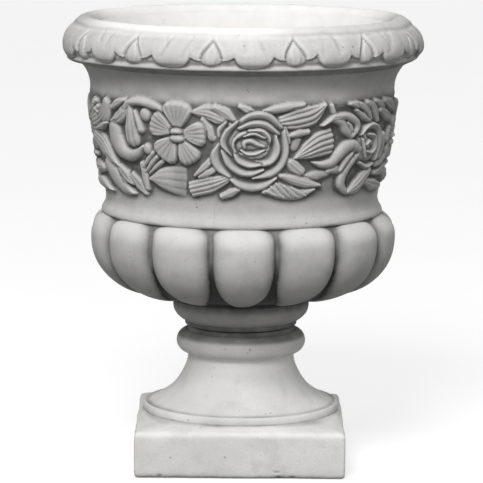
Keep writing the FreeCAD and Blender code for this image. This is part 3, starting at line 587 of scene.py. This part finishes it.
# Rose at the right.
carve([(52, 366), (56.5, 367), (61, 366)], [17, 20, 17], 4.4, edge=3.5)
side_lips = [
    ([(61, 345.6), (56, 343.6), (51.4, 348.8)], [1.8, 3.4, 1.8], 6.4),
    ([(49.8, 380), (52.8, 386.6), (56.8, 388), (61, 382), (62.9, 367), (61.4, 350)], [2, 4.2, 4.6, 5, 5, 2.4], 7.4),
    ([(54.2, 354), (53, 364), (51, 375)], [1.6, 3.6, 1.8], 7.2),
    ([(54.4, 379), (58.4, 374.6), (59.4, 364), (57.4, 359), (54.2, 360.8)], [1.8, 4.2, 4.6, 3.6, 1.6], 7.8),
]
for lip, widths, top in side_lips:
    carve(lip, widths, top, lean=0.3, inner=1.4, over=True, cut=1.8)
carve([(53.6, 368), (55.2, 371.5), (56.6, 368)], [1.6, 3, 1.6], 7.4, over=True)

# Five-petal flower at the front left.
flower(-24.5, 384.4, [(86, 37, 37), (157, 34, 34.5), (233, 37, 35.5), (299, 29, 36), (2, 33, 33.5)], 7.4)

# The carved half goes round twice, and is cast in four sectors.
relief = np.tile(np.clip(half_relief, LOWEST, HIGHEST), (2, 1))
frieze_angles = CUT_ANGLE + full_turn(COLUMNS)
soft_relief = 0.5 * relief + 0.5 * blur(relief, 1)
frieze_plain = swept(frieze_line, frieze_angles)
frieze_radius = frieze_line[:, 0] + soft_relief + layered(frieze_plain, CASTING, 11)
frieze_points = turned(frieze_radius, frieze_z, frieze_angles[:, None])
band = ease(frieze_z, FOOT - 3, FOOT + 6) * (1 - ease(frieze_z, HEAD - 2, HEAD + 8))
# Darker in the crevices between the forms, less so on the neck, with the deepest mixed towards painted black shadow.
pockets = np.clip((blur(relief, 7) - relief) / 3.0, 0, 1) ** 0.8 * (1 - 0.55 * ease(frieze_z, HEAD - 3, HEAD + 3))
# Darker on the bare ground between the forms, and a little over the whole band.
bare = (1 - ease(relief, 0.5, 4.5)) * band * ease(frieze_z, FOOT, FOOT + 16)
# Painted shade on the neck under the rim.
painted_neck_shade = 0.1 * ease(frieze_z, HEAD + 4, HEAD + 20)
frieze_hollow = np.clip(pockets + 0.46 * bare + 0.25 * band + painted_neck_shade, 0, 0.91)
frieze_worn = 0.36 * np.clip((relief - blur(relief, 4)) / 2.6, 0, 1) * band
FRIEZE_BACK = [(160, 440), (142, 400), (138, 300)]
QUARTER = COLUMNS // 4
for k, name in enumerate(("frieze_right_front", "frieze_right_back", "frieze_left_back", "frieze_left_front")):
    pick = np.arange(k * QUARTER, (k + 1) * QUARTER + 1)
    wrapped = pick % COLUMNS
    ring_piece(name, frieze_points[wrapped], CUT_ANGLE + pick * 360.0 / COLUMNS, FRIEZE_BACK,
               frieze_hollow[wrapped], frieze_worn[wrapped], "bowl", "urn_bowl", stone, closed=False)

# Belly: fourteen pillowed gadroons between the foot of the bead and the collar.
LOBES = 14
LOBE_TURN = 0.4
LOBE_SHIFT = 1.5  # the lobes sit a little to the right of the axis, as the photo shows
PER_LOBE = 56
WIDEST = 257  # height at which the belly is widest
TOP_RADIUS, TOP_RISE = 149, 24.6
FULLNESS = 2 / 2.2  # a little squarer than an ellipse
GROOVE_ROWS = 7  # rows of the dark groove at the collar's foot
step = np.linspace(-1, 1, PER_LOBE, endpoint=False)
lobe_x = np.tile(np.sin(step * math.pi / 2) * 0.35 + step * 0.65, LOBES)
belly_angles = LOBE_TURN + (np.repeat(np.arange(LOBES), PER_LOBE) + lobe_x / 2) * 360.0 / LOBES
collar = joined(
    smooth_line([BOWL_FOOT, (62.3, 154.6), (62.6, 157), (62.2, 158.6)], GROOVE_ROWS),
    smooth_line([(62.2, 158.6), (66.5, 160.6), (72.5, 166), (75.6, 172.5), (76, 180), (75.6, 186.5)], 18),
)
down = np.linspace(0, math.pi / 2, 46)
up = np.linspace(0, math.pi / 2, 30)[1:]


def belly_section(foot_radius, spread, drop, top_reach):
    """Section of a lobe's crown or of the gully between two lobes, from the collar up to the bead."""
    lower = [foot_radius + spread * np.sin(down) ** FULLNESS, WIDEST - drop * np.cos(down) ** FULLNESS]
    upper = [TOP_RADIUS + top_reach * np.cos(up) ** FULLNESS, WIDEST + TOP_RISE * np.sin(up) ** FULLNESS]
    return np.concatenate([np.stack(lower, -1), np.stack(upper, -1)])


crown = belly_section(85, 85.8, 69, 21.8)
gully = belly_section(76, 81.5, 68.5, 8.5)
# Each lobe narrows to a round end above and below.
height_share = np.concatenate([-np.cos(down), np.sin(up)])
low_end = (1 - np.abs(height_share) ** 3.6) ** 0.45
high_end = (1 - np.abs(height_share) ** 7) ** 0.28
narrow = np.where(height_share > 0, high_end, low_end)
lateral = np.abs(lobe_x)[:, None] / np.maximum(narrow * 0.95, 0.02)
swell = np.clip(1 - np.clip(lateral, 0, 1) ** 3.4, 0, 1) ** 0.5
lobes = gully + (crown - gully) * swell[..., None]
belly_columns, collar_rows = len(belly_angles), len(collar)
belly_line = np.concatenate([np.broadcast_to(collar, (belly_columns, collar_rows, 2)), lobes,
                             np.broadcast_to(BEAD_FOOT, (belly_columns, 1, 2))], axis=1)
belly_r, belly_z = belly_line[..., 0], belly_line[..., 1]
belly_plain = swept(belly_line, belly_angles)
belly_points = turned(belly_r + layered(belly_plain, CASTING, 31), belly_z, belly_angles[:, None])
belly_points[:, [0, -1]] = belly_plain[:, [0, -1]]
belly_points[..., 0] += LOBE_SHIFT * ease(belly_z, 188, 205) * (1 - ease(belly_z, 266, 281))
# Painted shade in the gullies between the lobes, near black as painted shadow at their lower ends, and under the
# lobes' lower ends.
painted_gully_shade = np.clip(1.3 * (1 - swell) ** 1.2, 0, 0.84 + 0.15 * ease(-height_share, -0.2, 0.6))
painted_gully_shade = np.clip(painted_gully_shade + 0.4 * ease(-height_share, 0.62, 1.0), 0, 0.99)
# Painted shadow of the lobes on the collar's top, and near-black painted shadow in the groove at its foot.
painted_collar_shadow = 0.22 + 0.74 * ease(collar[:, 1], 171, 184)
painted_collar_shadow[:GROOVE_ROWS] += 0.62
# The row under the bead gets a near-black painted shadow line.
belly_hollow = np.concatenate([np.broadcast_to(painted_collar_shadow, (belly_columns, collar_rows)), painted_gully_shade,
                               np.full((belly_columns, 1), 0.9)], axis=1)
belly_wear_and_highlight = np.zeros(belly_hollow.shape)
# The upper crowns of the lobes are rubbed pale, with a painted highlight.
belly_wear_and_highlight[:, collar_rows:-1] = 0.36 * swell * ease(height_share, -0.1, 0.6)
ring_piece("gadroon_belly", belly_points, belly_angles, [(140, 276), (120, 235), (58, 180)], belly_hollow,
           belly_wear_and_highlight, "bowl", "urn_bowl", stone)

# Rim: a rolled lip with a collar of round-lobed leaves and upright buds, fourteen of each.
PER_LEAF = 70
LEAF_TURN = 3.2
PITCH = 360.0 / LOBES
LIP_EDGE, LIP_SHOULDER, LIP_TOP = (197.4, 459.8), (188.5, 490.8), (175, 500)
LEAF_RISE, BUD_RISE = 2.8, 0.9
RECESS = 3.9  # the ground between the leaves lies this far behind the lip's own line
LOBE_HALF = 5.9  # half of a leaf's round middle lobe, in degrees
FOLDS, FOLD_SPACE = 3, 3.6
HANG, HANG_MIDDLE = 2.8, -88  # on the far left the lip's lower edge hangs a little, as the photo shows
PAINTED_LIP_LIGHT = 0.82
leaf_x = (np.arange(PER_LEAF) / PER_LEAF - 0.5) * PITCH
rim_angles = np.concatenate([LEAF_TURN + k * PITCH + leaf_x for k in range(LOBES)])
under = smooth_line([NECK_TOP, (186, 451.4), (192, 454.2), (195.8, 457.0), LIP_EDGE], 22)
roll = smooth_line([LIP_EDGE, (199.8, 463.2), (200.8, 467.8), (200.2, 474), (197.6, 481), (193.4, 486.8),
                    LIP_SHOULDER], 46)
over_top = joined(bow(LIP_SHOULDER, LIP_TOP, 0.10, 14), bow(LIP_TOP, MOUTH_EDGE, 0.17, 12))
rim_line = joined(under, roll, over_top)
rim_plain = swept(rim_line, rim_angles)
# Each leaf and bud drifts a little from its place, as hand-worked models do.
drift = layered(rim_plain, ((1.1, 62), (0.35, 15)), 53)
far = lengths(rim_line)
true_s = (far - far[len(under) - 1])[None, :]
s = true_s + ease(true_s, 2, 12) * layered(rim_plain, ((2.4, 40), (0.8, 12)), 55)
# Below, s is the way up the lip from its lower edge, and leaf_a and bud_a are the angles from the middle of
# the nearest leaf and bud.
signed = (np.tile(leaf_x, LOBES)[:, None] + drift + PITCH / 2) % PITCH - PITCH / 2
leaf_a = np.abs(signed)
bud_a = PITCH / 2 - leaf_a
lobe_edge = -2.4 + 14.9 * np.clip(leaf_a / LOBE_HALF, 0, 1) ** 3.6
side_edge = np.interp(leaf_a, [LOBE_HALF, 7.4, 9.4, 9.8], [12.5, 8.8, 7.0, 8.0])
leaf_edge = np.where(leaf_a < LOBE_HALF, lobe_edge, side_edge)
bud_half = np.interp(s, [0, 5, 11, 18, 26, 32, 35, 60], [2.4, 3.1, 3.3, 2.7, 1.5, 0.5, 0, 0])
core_half = np.interp(s, [0, 4, 12, 20, 25, 28, 60], [1.2, 1.5, 1.9, 1.6, 0.9, 0, 0])
merge = 1 - ease(s, 33, 41)
on_leaf = ease(s - leaf_edge, -0.8, 1.4) * ease(bud_a - bud_half, -0.15, 0.35)
on_bud = ease(bud_half - bud_a, -0.1, 0.5) * ease(s, -2.0, 1.0)
on_core = ease(core_half - bud_a, -0.1, 0.45) * ease(s, -0.5, 3)
bulge = 0.9 * np.cos(np.clip(leaf_a / 9.5, 0, 1) * math.pi / 2) + 0.7 * ease(s - leaf_edge, 0, 8)
# No two leaves are modelled alike: each has shallow folds of its own, drawn from these ranges of a fold's
# middle, slant, width, start and depth.
fold_ranges = ((-2, 2), (-0.16, 0.16), (0.5, 1.3), (5, 20), (0.3, 1.1))
draw = np.random.default_rng(57)
folds = np.zeros_like(s)
for k in range(FOLDS):
    middle, slant, width, start, depth = (np.repeat(draw.uniform(least, most, LOBES), PER_LEAF)[:, None]
                                          for least, most in fold_ranges)
    fold_line = middle + FOLD_SPACE * (k - 1) + slant * (s - 20)
    folds = folds + depth * peak(signed, fold_line, width) * ease(s, start, start + 5)
bud_dome = BUD_RISE + np.cos(np.clip(bud_a / 3.4, 0, 1) * math.pi / 2)
lift = on_leaf * (LEAF_RISE + bulge - folds) + on_bud * bud_dome + on_core
seam = peak(bud_a, bud_half, 0.42) * ease(s, 9, 13) * (1 - ease(s, 33, 38))
lift = (lift - 1.3 * seam) * ease(s, -4.4, -2.6)
lift = np.where(s > 33, lift * merge, lift)
shift = lift - RECESS * ease(s, -4.6, -0.8) * merge + 1.3 * layered(rim_plain, CASTING, 51)
shift[:, [0, -1]] = 0
rim_moved = rim_line + shift[..., None] * outward(rim_line)
hang = peak(signed_turn(rim_angles[:, None], HANG_MIDDLE), 0, 26) * ease(far, 2, 12) * (1 - ease(true_s, 0, 14))
rim_moved[..., 1] -= HANG * hang
rim_points = swept(rim_moved, rim_angles)
# Painted shade in the creases round the leaves and buds.
painted_crease_shade = np.clip((blur(lift, 3) - lift) / 1.3, 0, 1) * ease(s, -4, -2)
from_front = signed_turn(rim_angles[:, None], 0)
off_front = np.abs(from_front)
# Painted shade on the two flanks of the lip and on the underside of the lip.
painted_flank_shade = ease(off_front, 48, 76) * (1 - ease(off_front, 100, 130))
rim_painted_shade = np.clip(0.7 * painted_crease_shade + 0.6 * (1 - ease(s, -7, -3)) + 0.15 * painted_flank_shade, 0, 0.9)
# Painted light on the top of the lip: full from the left of the front to the front, about a third on the right, none
# on the far left flank, and full again towards the back.
painted_lip_light = PAINTED_LIP_LIGHT * ease(from_front, -78, -48) * (1 - 0.7 * ease(from_front, 2, 30))
painted_lip_light = np.where(off_front > 90, PAINTED_LIP_LIGHT * ease(off_front, 90, 120), painted_lip_light)
# Raised points rubbed pale, the face of the lip a little paler, and the painted light on the top.
rim_wear_and_light = 0.3 * np.clip((lift - blur(lift, 3)) / 0.8, 0, 1) + 0.08 * ease(s, 6, 20) + painted_lip_light * ease(s, 31, 47)
ring_piece("leaf_rim", rim_points, rim_angles, [(168, 480), (168, 450)], rim_painted_shade, np.clip(rim_wear_and_light, 0, 1),
           "bowl", "urn_bowl", stone)

# Hollow of the bowl, its floor, the bore for the spout and the underside of the foot.
HOLLOW_COLUMNS = 216
SPOUT_BORE, HOLLOW_FLOOR = 20.05, 215
HOLLOW_WAIST, HOLLOW_FOOT, HOLLOW_TURN = (142.5, 416.0), (126, 288.5), (108, 245)
FLOOR_EDGE = (78, HOLLOW_FLOOR)
QUARTER_ROUND = -0.2071  # share of the chord by which a quarter circle stands out, here to the left
hollow_angles = full_turn(HOLLOW_COLUMNS)
hollow_line = joined(
    straight(MOUTH_EDGE, HOLLOW_WAIST, 18),
    straight(HOLLOW_WAIST, HOLLOW_FOOT, 26),
    straight(HOLLOW_FOOT, HOLLOW_TURN, 10),
    bow(HOLLOW_TURN, FLOOR_EDGE, QUARTER_ROUND, 9),
    straight(FLOOR_EDGE, (SPOUT_BORE, HOLLOW_FLOOR), 10),
)
foot_line = joined(np.array([(SPOUT_BORE, HOLLOW_FLOOR), (SPOUT_BORE, BOWL_FOOT[1])]),
                   straight((SPOUT_BORE, BOWL_FOOT[1]), BOWL_FOOT, 8))
inside_line = joined(hollow_line, foot_line)
inside_z = inside_line[:, 1]
wavy = layered(swept(inside_line, hollow_angles), CASTING, 71) * 1.2
# The mouth's edge, the bore and the foot stay true.
wavy[:, 0] = 0
wavy[:, len(hollow_line) - 1:] = 0
inside_moved = inside_line + wavy[..., None] * outward(inside_line)
# The inside is darker towards its floor, and painted light brightens the wall below the mouth.
darker_lower_inside = 0.5 * (1 - ease(inside_z, 220, 440))
painted_wall_light = 0.95 * ease(inside_z, 410, 462)
ring_piece("bowl_hollow", swept(inside_moved, hollow_angles), hollow_angles,
           [(66, 178), (110, 232), (146, 300), (156, 420)], darker_lower_inside, painted_wall_light, "bowl", "urn_bowl", stone)

# Pedestal: ring, flared stem, torus and seat, turned about the axis.
STEM_COLUMNS = 288
BORE, SOCKET_RADIUS, SOCKET_FLOOR = 18, 21.5, 112.5
RING_HEEL, SCOTIA_FOOT, STEM_TOP = (104.9, 65.9), (102.8, 67.0), (59.5, 116)
TORUS_FOOT, TORUS_HEAD, TORUS_SHARE = (59.9, 122.4), (59.9, 148.2), 12.6 / 25.8
SEAT = (60.5, 151.5)
SEAT_ROWS = 5
stem_angles = full_turn(STEM_COLUMNS)
stem_line = joined(
    smooth_line([RING_FOOT, (109.7, 59.2), (109.8, 62), (109.0, 64.9), (106.9, 66.3), RING_HEEL], 16),
    smooth_line([RING_HEEL, (103.8, 65.8), SCOTIA_FOOT], 4),
    smooth_line([SCOTIA_FOOT, (93.5, 71.6), (84.5, 77.0), (76.5, 83.4), (69.5, 92), (64, 101.5), (60.6, 110),
                 STEM_TOP], 44),
    smooth_line([STEM_TOP, (59.2, 119.6), TORUS_FOOT], 6),
    bow(TORUS_FOOT, TORUS_HEAD, TORUS_SHARE, 34),
    smooth_line([TORUS_HEAD, (60.3, 149.6), SEAT], 5),
    np.array([SEAT, (SOCKET_RADIUS, SEAT[1]), (SOCKET_RADIUS, SOCKET_FLOOR), (BORE, SOCKET_FLOOR)]),
)
stem_r, stem_z = stem_line.T
stem_plain = swept(stem_line, stem_angles)
uneven = layered(stem_plain, CASTING, 91)
# The seat, the socket and the joint with the plinth stay true.
uneven[:, -SEAT_ROWS:] = 0
uneven[:, 0] = 0
stem_points = turned(stem_r + uneven, stem_z, stem_angles[:, None])
# Darker in the crease at the ring's heel and at the ring's foot by the plinth, with painted shade under the torus, all
# of uneven strength.
ring_crease_dark = 0.6 * peak(stem_z, 66.1, 1.4) * (stem_r < 107)
torus_underside_shade = 0.3 * peak(stem_z, 124.4, 2.0)
fillets = ring_crease_dark + torus_underside_shade + 0.6 * (1 - ease(stem_z, RING_FOOT[1], 60))
# Painted shadow of the belly on the top of the torus, and painted shade on the seat above it.
shaded = (0.72 * ease(stem_z, 138.5, 143.5) + 0.14 * ease(stem_z, 147, 149)) * (stem_r > 55)
stem_hollow = np.clip(fillets * patchiness(stem_plain, 93) + shaded, 0, 0.88)
# Painted light on the top of the stem, under the torus.
painted_stem_light = 0.55 * peak(stem_z, 114, 8)
ring_piece("flared_stem", stem_points, stem_angles, [(18, 50), (100, 50)], stem_hollow, painted_stem_light,
           "pedestal", "pedestal", stem_stone)

# Plinth: a square block with worn edges, a few chips and a sloped top that runs up to the round ring.
SIDE_STEPS = 112
BLOCK_TOP = (112.8, 50.6)
UNDERSIDE_RADIUS = 62.0
CORNER, TOP_CORNER = 2.8, 2.6  # radii of the block's upright edges
PLINTH_SHIFT = 0.9  # the block sits a little to the left of the axis, as the photo shows
v = np.linspace(-1, 1, SIDE_STEPS, endpoint=False)
side_turn = np.degrees(np.arctan(v * (1.32 - 0.32 * v * v)))
plinth_angles = np.concatenate([side_turn + 90 * k for k in range(4)])
plinth_columns = len(plinth_angles)
plinth_turn = plinth_angles[:, None]


def square_reach(angle, half, corner):
    """Distance from the axis to a square with rounded corners, in a direction."""
    turn = np.radians((angle + 45) % 90 - 45)
    cosine, sine = np.cos(turn), np.abs(np.sin(turn))
    middle = half - corner
    along = (cosine + sine) * middle
    round_part = along + np.sqrt(np.maximum(along ** 2 - 2 * middle ** 2 + corner ** 2, 0))
    return np.where(half * sine / cosine > middle, round_part, half / cosine)


block_line = smooth_line([(111.0, 0), (113.0, 0.4), (114.6, 1.8), (115.4, 4.5), (115.8, 10), (115.9, 20),
                          (115.9, 38), (115.8, 44), (115.4, 47.0), (114.3, 49.3), BLOCK_TOP], 66)
block_reach = square_reach(plinth_turn, block_line[None, :, 0], CORNER)
block_z = np.broadcast_to(block_line[:, 1], block_reach.shape)
slope_steps = np.linspace(0, 1, 9)[1:][None, :]
edge_reach = square_reach(plinth_turn, BLOCK_TOP[0], TOP_CORNER)
slope_reach = edge_reach + (RING_FOOT[0] - edge_reach) * slope_steps
slope_z = np.broadcast_to(BLOCK_TOP[1] + (RING_FOOT[1] - BLOCK_TOP[1]) * slope_steps ** 0.8, slope_reach.shape)
underside = np.broadcast_to([BORE, UNDERSIDE_RADIUS], (plinth_columns, 2))
radius = np.concatenate([underside, block_reach, slope_reach], axis=1)
level = np.concatenate([np.zeros(underside.shape), block_z, slope_z], axis=1)
plinth_plain = turned(radius, level, plinth_turn)
wobble = layered(plinth_plain, ((0.9, 52), (0.5, 17), (0.22, 6)), 111)
wobble = wobble * (0.55 + 0.9 * peak(level, 49, 4) + 0.9 * peak(level, 0, 4))
# The underside and the joint with the ring stay true.
wobble[:, :2] = 0
wobble[:, -1] = 0
radius = radius + np.minimum(wobble, 0.5)
level = level + 0.35 * noise(plinth_plain, 24, 114) * ease(level, 40, 48) * (level < 56)
whole_block = turned(radius, level, plinth_turn)
# Chips: place, size and depth of each.
chips = [((41, -115.4, 7.5), 2.2, 1.6), ((44, -114.4, 0.5), 3.4, 2.4), ((58, -114.4, 1.0), 2.8, 2.0),
         ((-88, -115.4, 2), 3.5, 1.6), ((113.4, -70, 1), 5, 2.5), ((114.4, 20, 49), 4.5, 2),
         ((-114.4, -40, 48), 5, 2.2), ((-60, 114.4, 1), 5, 2.6), ((30, 114.4, 48), 4, 2)]
ragged = 1 + 0.25 * noise(plinth_plain, 3, 115)
scar = np.zeros(radius.shape)
for centre, size, depth in chips:
    away = np.linalg.norm(whole_block - np.array(centre), axis=-1)
    bite = np.clip(1 - (away / (size * ragged)) ** 2, 0, 1)
    radius = radius - depth * bite
    scar = np.maximum(scar, bite)
plinth_points = turned(radius, level, plinth_turn)
off_joint = 1 - ease(level, BLOCK_TOP[1], RING_FOOT[1])
plinth_points[..., 0] -= PLINTH_SHIFT * off_joint * ease(radius, UNDERSIDE_RADIUS, 100)
# Darker up the slope towards the ring's foot and along the bottom edge.
slope_darkening = 0.06 * ease(level, 50, 53) + 0.5 * ease(level, 54.8, RING_FOOT[1])
plinth_hollow = 0.5 * scar + 0.5 * (1 - ease(level, 0, 6)) + slope_darkening * patchiness(plinth_plain, 116)
# Paler along the rounded top edge: wear, with a painted highlight.
plinth_edge_wear_and_highlight = 0.3 * peak(level, 49, 2.6)
ring_piece("square_plinth", plinth_points, plinth_angles, [(100, 50), (18, 50)], np.clip(plinth_hollow, 0, 0.85),
           plinth_edge_wear_and_highlight, "pedestal", "pedestal", pale_stone)

# Small parts that are kept from the CAD model.
finishes = {
    "bedding_ring": dull("gasket", (0.03, 0.03, 0.03, 1), (0.06, 0.06, 0.058, 1), 60, 0.8),
    "drain_spout": dull("drain_plastic", (0.30, 0.31, 0.32, 1), (0.38, 0.39, 0.40, 1), 40, 0.55),
    "drain_screen": dull("screen_plastic", (0.05, 0.05, 0.05, 1), (0.10, 0.10, 0.10, 1), 70, 0.5),
}
steel = dull("steel", (0.32, 0.30, 0.28, 1), (0.45, 0.43, 0.41, 1), 90, 0.5, 0.9, (0.22, 0.10, 0.05, 1))
for node in ("rim_hoop", "waist_hoop", "wall_bars", "stem_bars", "plinth_hoop"):
    finishes[node] = steel
for node, finish in finishes.items():
    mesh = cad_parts[node].data
    mesh.materials.clear()
    mesh.materials.append(finish)

# Stage: a plain pale floor, which doesn't light the urn. From here on, lengths are in metres.
FLOOR_HALF = 9
FLOOR_DROP = 0.0004
WHITE = (1, 1, 1, 1)
scene = bpy.context.scene
pale = Tree("pale_floor")
tone = pale.noise(pale.coords(), 3, 2)
pale.feed(pale.shader.inputs["Base Color"], pale.mix(tone, (0.52, 0.52, 0.52, 1), (0.56, 0.56, 0.56, 1)))
pale.shader.inputs["Roughness"].default_value = 0.9
pale.shader.inputs["Emission Color"].default_value = WHITE
pale.shader.inputs["Emission Strength"].default_value = 0.62
floor_mesh = bpy.data.meshes.new("floor")
floor_corners = [(FLOOR_HALF * x, FLOOR_HALF * y, 0) for x, y in ((-1, -1), (1, -1), (1, 1), (-1, 1))]
floor_mesh.from_pydata(floor_corners, [], [(0, 1, 2, 3)])
floor_mesh.materials.append(pale.material)
floor = bpy.data.objects.new("floor", floor_mesh)
scene.collection.objects.link(floor)
floor.location.z = -FLOOR_DROP
floor.visible_diffuse = False

# White surroundings that fade out below the horizon.
FADE_FROM, FADE_TO, DIM, BRIGHT = -0.35, 0.25, 0.05, 0.49
world = bpy.data.worlds.new("studio")
world.use_nodes = True
nodes, links = world.node_tree.nodes, world.node_tree.links
direction = nodes.new("ShaderNodeTexCoord")
axes = nodes.new("ShaderNodeSeparateXYZ")
fade = nodes.new("ShaderNodeMapRange")
links.new(direction.outputs["Generated"], axes.inputs[0])
links.new(axes.outputs["Z"], fade.inputs[0])
for socket, number in zip(fade.inputs[1:5], (FADE_FROM, FADE_TO, DIM, BRIGHT)):
    socket.default_value = number
links.new(fade.outputs[0], nodes["Background"].inputs["Strength"])
nodes["Background"].inputs["Color"].default_value = WHITE
scene.world = world

URN_MIDDLE = Vector((0, 0, 0.3))


def lamp(name, azimuth, elevation, distance, size, power):
    """Square area light that looks at the middle of the urn."""
    light = bpy.data.lights.new(name, "AREA")
    light.size = size
    light.energy = power
    lamp_object = bpy.data.objects.new(name, light)
    turn, rise = math.radians(azimuth), math.radians(elevation)
    away = Vector((math.sin(turn) * math.cos(rise), -math.cos(turn) * math.cos(rise), math.sin(rise)))
    lamp_object.location = URN_MIDDLE + away * distance
    lamp_object.rotation_euler = away.to_track_quat("Z", "Y").to_euler()
    scene.collection.objects.link(lamp_object)


lamp("key", -12, 41, 2.6, 0.9, 45)
lamp("fill", 0, 10, 3.0, 1.6, 10)

# Camera at the photo's angle.
CAMERA_PLACE = (0, -3.6, 0.783)
CAMERA_PITCH, CAMERA_ROLL = math.radians(8.483), math.radians(0.35)
camera_data = bpy.data.cameras.new("camera")
camera_data.sensor_width = 36
camera_data.sensor_fit = "HORIZONTAL"
camera_data.lens = 242.2
camera_data.clip_end = 100
camera = bpy.data.objects.new("camera", camera_data)
camera.matrix_world = (Matrix.Translation(CAMERA_PLACE) @ Matrix.Rotation(math.pi / 2 - CAMERA_PITCH, 4, "X")
                       @ Matrix.Rotation(CAMERA_ROLL, 4, "Z"))
scene.collection.objects.link(camera)
scene.camera = camera
scene.view_settings.view_transform = "Standard"
